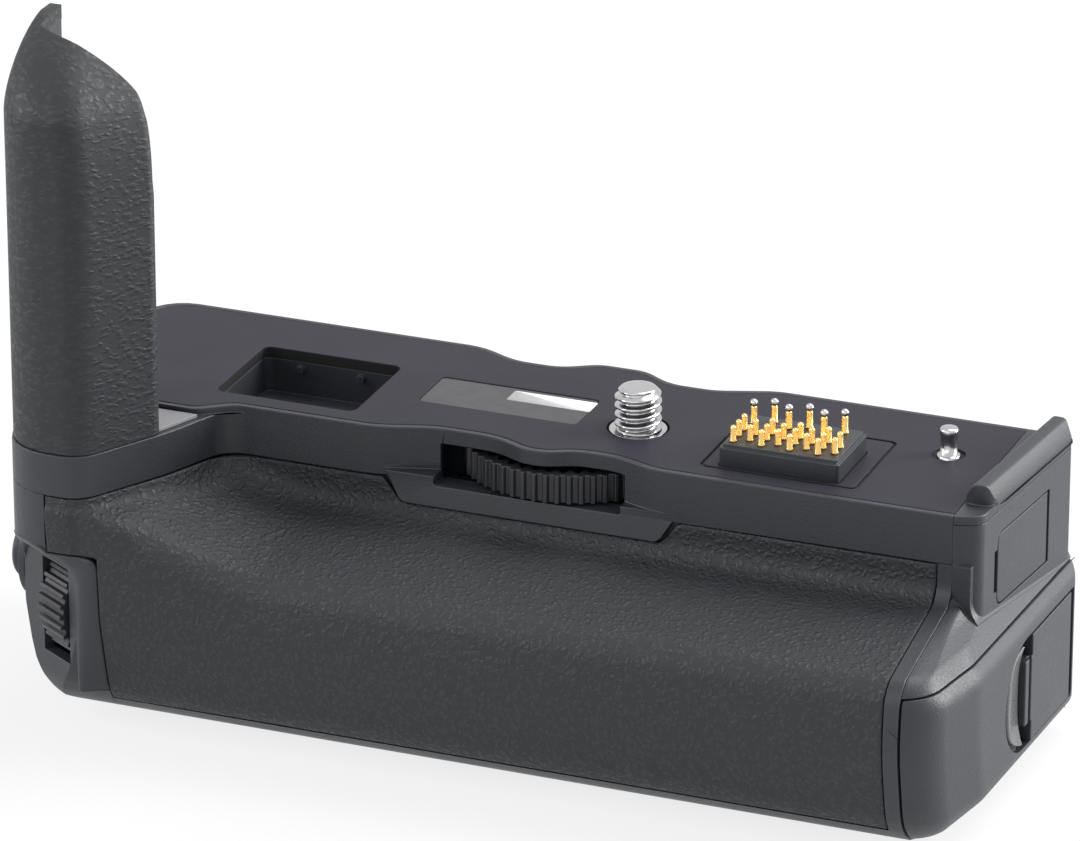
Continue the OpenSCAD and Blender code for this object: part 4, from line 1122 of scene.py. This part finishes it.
class GRIP_OT_right_end(bpy.types.Operator):
    """Fair the swelling right end, whose solids meet in an edge at the front corner"""

    bl_idname = "grip.right_end"
    bl_label = "Right end"

    edge_x, edge_y = high("tray_cap")[:2]
    slant = math.tan(math.radians(1.8))
    upper_slant = math.tan(math.radians(5.5))
    upper_x = edge_x - 1.3
    clear = 0.03
    inner_x = 40.0
    beyond = 30.0
    swell = rounded_line(
        [(-30, BASE, 0), (0, BASE, 5), (0, -19.5, 4), (-4.2, -13.2, 4), (-4.2, 6, 0)], 12)
    # Finger scoop of the latch in the end's plane: its radius is the recess's less a dark border
    centre = np.array([-20.3, -28.9])
    radius = 8.1 - 0.9
    tongue = -21.4
    bed = 2.2

    def execute(self, context):
        for node in ("tray_cap", "right_end_cover"):
            form, upper = solid("lower_form", *self.loft()), solid("upper_form", *self.prism())
            combine(form, upper, "UNION")
            faired(node, form, "INTERSECT")
            bpy.data.objects.remove(upper)
        self.scoop()
        return {"FINISHED"}

    def scoop(self):
        """Dish the latch's finger scoop inside a dark border, its colour lightened to a painted
        highlight.
        """
        centre, radius, tongue, n = self.centre, self.radius, self.tongue, 49
        turn = math.acos((tongue - centre[0]) / radius)
        angle = np.linspace(turn, 2 * math.pi - turn, n)
        border = centre + radius * np.stack([np.cos(angle), np.sin(angle)], 1)
        edge = np.stack([np.full(n, tongue), border[:, 1]], 1)
        far = border[n // 2, 0]
        rows = [[self.on_end(-self.bed, y, z) for y, z in border]]
        for t in np.linspace(0, 1, 17):
            line = border * (1 - t) + edge * t
            share = (line[:, 0] - far) / (tongue - far)
            aside = np.clip(np.abs(line[:, 1] - centre[1]) / radius, 0, 1)
            rolled = 0.3 * (1 - min(1.0, t / 0.06)) ** 2
            sink = 0.04 + 0.80 * smooth(share * 1.1) * (1 - aside ** 3) + rolled
            rows.append([self.on_end(-d, y, z) for d, (y, z) in zip(sink, line)])
        points = [p for row in rows for p in row]
        last = len(points)
        points += [self.on_end(-self.bed, tongue, z) for _, z in border]
        faces = grid_faces(len(rows), n)
        faces += [(last - n + i, last - n + 1 + i, last + i + 1, last + i) for i in range(n - 1)]
        faces += [(last + i, last + i + 1, i + 1, i) for i in range(n - 1)]
        # Painted highlight: the scoop's colour, about four times the housing's, stands for the
        # light its dish catches
        new_piece("latch_scoop", points, faces, "black_plastic", "battery_tray", (),
                  moulded_finish("scoop_painted_highlight", (0.085, 0.086, 0.089), 0.3))

    def on_end(self, x, y, z):
        """Place of a point that is given in the slanting end's own plane."""
        return self.edge_x + x + y * self.slant, self.edge_y + y - x * self.slant, z

    def loft(self):
        """Rings of the lower end, each with its own rounded front corner."""
        section = hand_section(self.inner_x)
        height = np.minimum.accumulate(section[:, 1])
        even = resample(section, np.linspace(0, 1, 160))[::-1, 1]
        even = even[(even > -34.8) & (even < -6.5)]
        rounded = BASE + 5 * (1 - np.cos(np.linspace(0.05, math.pi / 2, 12)))
        levels = np.concatenate([rounded, even])
        levels = levels[np.concatenate([[True], np.diff(levels) > 0.02])]
        rise = self.swell[1:]
        near_x = self.edge_x - (self.edge_y + 20) * self.slant + self.clear
        far_x = self.edge_x + (self.beyond - self.edge_y) * self.slant + self.clear
        rings = []
        for z in levels:
            front = float(np.interp(-z, -height, section[:, 0])) - self.clear
            inset = float(np.interp(z, rise[:, 1], rise[:, 0]))
            ring = rounded_line([
                (self.inner_x, front, 0), (near_x - 2.8 + 0.6 * inset, front, 7 + 0.8 * inset),
                (near_x + inset, front + 14, 14 + 1.5 * inset), (far_x + inset, self.beyond, 0),
                (self.inner_x, self.beyond, 0)], 14)
            rings.append([(x, y, z) for x, y in ring])
        rings.insert(0, [(x, y, BASE - self.clear) for x, y, _ in rings[0]])
        return [p for ring in rings for p in ring], tube_faces(len(rings), len(rings[0]))

    def prism(self):
        """The upper end's block, which the fairing leaves as it is."""
        line = lambda y: self.upper_x - (self.edge_y - y) * self.upper_slant + 0.3
        front, back, inner = BAND_FRONT - 0.05, self.beyond - 1, self.inner_x + 1
        plan = [(inner, front), (line(front), front), (line(back), back), (inner, back)]
        points = [(x, y, z) for z in (-20.0, 1.0) for x, y in plan]
        return points, block_faces(len(plan))


class GRIP_OT_power_socket(bpy.types.Operator):
    """Finish the power socket and its soft cover"""

    bl_idname = "grip.power_socket"
    bl_label = "Power socket"

    def execute(self, context):
        dress("dc_cover", sizes().button_edge)
        dress("dc_jack", sizes().fine_edge)
        return {"FINISHED"}


class GRIP_OT_tray(bpy.types.Operator):
    """Finish the battery tray, its latch and batteries"""

    bl_idname = "grip.tray"
    bl_label = "Battery tray"

    def execute(self, context):
        dress("latch_lever")
        for node in ("battery_tray", "inner_battery", "outer_battery"):
            dress(node, sizes().case_edge)
        dress("latch_pin", sizes().fine_edge)
        return {"FINISHED"}


class GRIP_OT_underside(bpy.types.Operator):
    """Finish the base plate, the tripod bush and the crossed screws"""

    bl_idname = "grip.underside"
    bl_label = "Underside"

    def execute(self, context):
        dress("base_plate", sizes().case_edge)
        dress("tripod_bush", sizes().thin_edge)
        dress("base_screws", sizes().fine_edge)
        return {"FINISHED"}


class GRIP_OT_inner_works(bpy.types.Operator):
    """Finish the chamber, its contacts and the board"""

    bl_idname = "grip.inner_works"
    bl_label = "Inner works"

    def execute(self, context):
        for node in ("battery_chamber", "chamber_contacts", "main_board"):
            dress(node, sizes().fine_edge)
        return {"FINISHED"}


class GRIP_OT_stage(bpy.types.Operator):
    """Lay the floor and set the lights and the camera"""

    bl_idname = "grip.stage"
    bl_label = "Stage"

    azimuth = math.radians(21.65)
    elevation = math.radians(22.83)
    distance, aside, above = 0.9865, 0.01311, 0.00089
    lens, sensor = 246.2, 36
    aim = Vector((-0.01, 0, 0))

    def execute(self, context):
        scene = context.scene
        scene.view_settings.view_transform = "Standard"
        self.floor(scene)
        self.world(scene)
        for name, place, size, power in (
            ("top", (0.22, 0.30, 0.82), (0.7, 0.36), 5.0),
            ("left", (-0.80, -0.35, 0.35), (0.3, 0.6), 4.2),
            ("right", (0.75, 0.46, 0.25), (0.35, 0.7), 12.5),
            ("front", (-0.15, -0.82, 0.52), (0.9, 0.3), 1.7),
        ):
            self.lamp(scene, name, place, size, power)
        self.camera(scene)
        return {"FINISHED"}

    def floor(self, scene):
        height = cad_box[0].z
        n, reach = 24, 3.0
        ticks = np.linspace(-reach, reach, n)
        points = [(x, y, height) for y in ticks for x in ticks]
        mesh = bpy.data.meshes.new("floor")
        mesh.from_pydata(points, [], grid_faces(n, n))
        floor = bpy.data.objects.new("floor", mesh)
        scene.collection.objects.link(floor)
        finish = Finish("pale_floor", Roughness=0.9)
        cloud = finish.noise(finish.place(), 60.0, 2.0)
        finish.feed(Base_Color=finish.mix(cloud, (0.88, 0.88, 0.88), (0.91, 0.91, 0.91)))
        glow = finish.node("ShaderNodeEmission", None, Color=(1, 1, 1, 1), Strength=1.0)
        camera, gloss, clear = (finish.node("ShaderNodeLightPath", out=f"Is {kind} Ray")
                                for kind in ("Camera", "Glossy", "Transmission"))
        share = (camera + gloss + clear) * 0.8
        finish.show(finish.node("ShaderNodeMixShader", None, share, finish.surface, glow))
        mesh.materials.append(finish.material)

    @staticmethod
    def world(scene):
        world = bpy.data.worlds.new("studio")
        scene.world = world
        world.use_nodes = True
        nodes, links = world.node_tree.nodes, world.node_tree.links
        nodes.clear()
        path = nodes.new("ShaderNodeLightPath")
        either, shown = nodes.new("ShaderNodeMath"), nodes.new("ShaderNodeMath")
        links.new(path.outputs["Is Camera Ray"], either.inputs[0])
        links.new(path.outputs["Is Glossy Ray"], either.inputs[1])
        links.new(either.outputs[0], shown.inputs[0])
        links.new(path.outputs["Is Transmission Ray"], shown.inputs[1])
        soft, seen = nodes.new("ShaderNodeBackground"), nodes.new("ShaderNodeBackground")
        soft.inputs["Color"].default_value = (1, 1, 1, 1)
        soft.inputs["Strength"].default_value = 0.30
        seen.inputs["Color"].default_value = (1, 1, 1, 1)
        mixed, out = nodes.new("ShaderNodeMixShader"), nodes.new("ShaderNodeOutputWorld")
        links.new(shown.outputs[0], mixed.inputs[0])
        links.new(soft.outputs[0], mixed.inputs[1])
        links.new(seen.outputs[0], mixed.inputs[2])
        links.new(mixed.outputs[0], out.inputs["Surface"])

    def lamp(self, scene, name, place, size, power):
        data = bpy.data.lights.new(name, "AREA")
        data.shape = "RECTANGLE"
        data.size, data.size_y = size
        data.energy = power
        lamp = bpy.data.objects.new(name, data)
        lamp.location = place
        lamp.rotation_mode = "QUATERNION"
        lamp.rotation_quaternion = (self.aim - Vector(place)).to_track_quat("-Z", "Y")
        scene.collection.objects.link(lamp)

    def camera(self, scene):
        a, e = self.azimuth, self.elevation
        right = Vector((math.cos(a), math.sin(a), 0))
        up = Vector((-math.sin(a) * math.sin(e), math.cos(a) * math.sin(e), math.cos(e)))
        back = Vector((math.sin(a) * math.cos(e), -math.cos(a) * math.cos(e), math.sin(e)))
        data = bpy.data.cameras.new("view")
        data.sensor_width = self.sensor
        data.lens = self.lens
        data.clip_start, data.clip_end = 0.05, 20
        camera = bpy.data.objects.new("view", data)
        place = back * self.distance - right * self.aside + up * self.above
        turn = Matrix((right, up, back)).transposed().to_4x4()
        camera.matrix_world = Matrix.Translation(place) @ turn
        scene.collection.objects.link(camera)
        scene.camera = camera


class GRIP_PT_panel(bpy.types.Panel):
    """Steps of the battery grip"""

    bl_label = "Battery Grip"
    bl_idname = "GRIP_PT_panel"
    bl_space_type = "VIEW_3D"
    bl_region_type = "UI"
    bl_category = "Battery Grip"

    def draw(self, context):
        for step in STEPS:
            self.layout.operator(step.bl_idname)
        for group in (context.scene.grip_colours, context.scene.grip_sizes):
            for name in group.bl_rna.properties.keys():
                if name not in ("rna_type", "name"):
                    self.layout.prop(group, name)


STEPS = (
    GRIP_OT_shells, GRIP_OT_facet_rim, GRIP_OT_seat, GRIP_OT_hand_skin, GRIP_OT_riser,
    GRIP_OT_screw, GRIP_OT_thumbwheel, GRIP_OT_connector, GRIP_OT_guide_pin, GRIP_OT_dials,
    GRIP_OT_buttons, GRIP_OT_right_end, GRIP_OT_power_socket, GRIP_OT_tray, GRIP_OT_underside,
    GRIP_OT_inner_works, GRIP_OT_stage,
)
CLASSES = (GripColours, GripSizes, *STEPS, GRIP_PT_panel)


def register():
    for cls in CLASSES:
        bpy.utils.register_class(cls)
    bpy.types.Scene.grip_colours = PointerProperty(type=GripColours)
    bpy.types.Scene.grip_sizes = PointerProperty(type=GripSizes)


def unregister():
    del bpy.types.Scene.grip_sizes
    del bpy.types.Scene.grip_colours
    for cls in reversed(CLASSES):
        bpy.utils.unregister_class(cls)


def main():
    register()
    for step in STEPS:
        group, name = step.bl_idname.split(".")
        getattr(getattr(bpy.ops, group), name)()


if __name__ == "__main__":
    main()
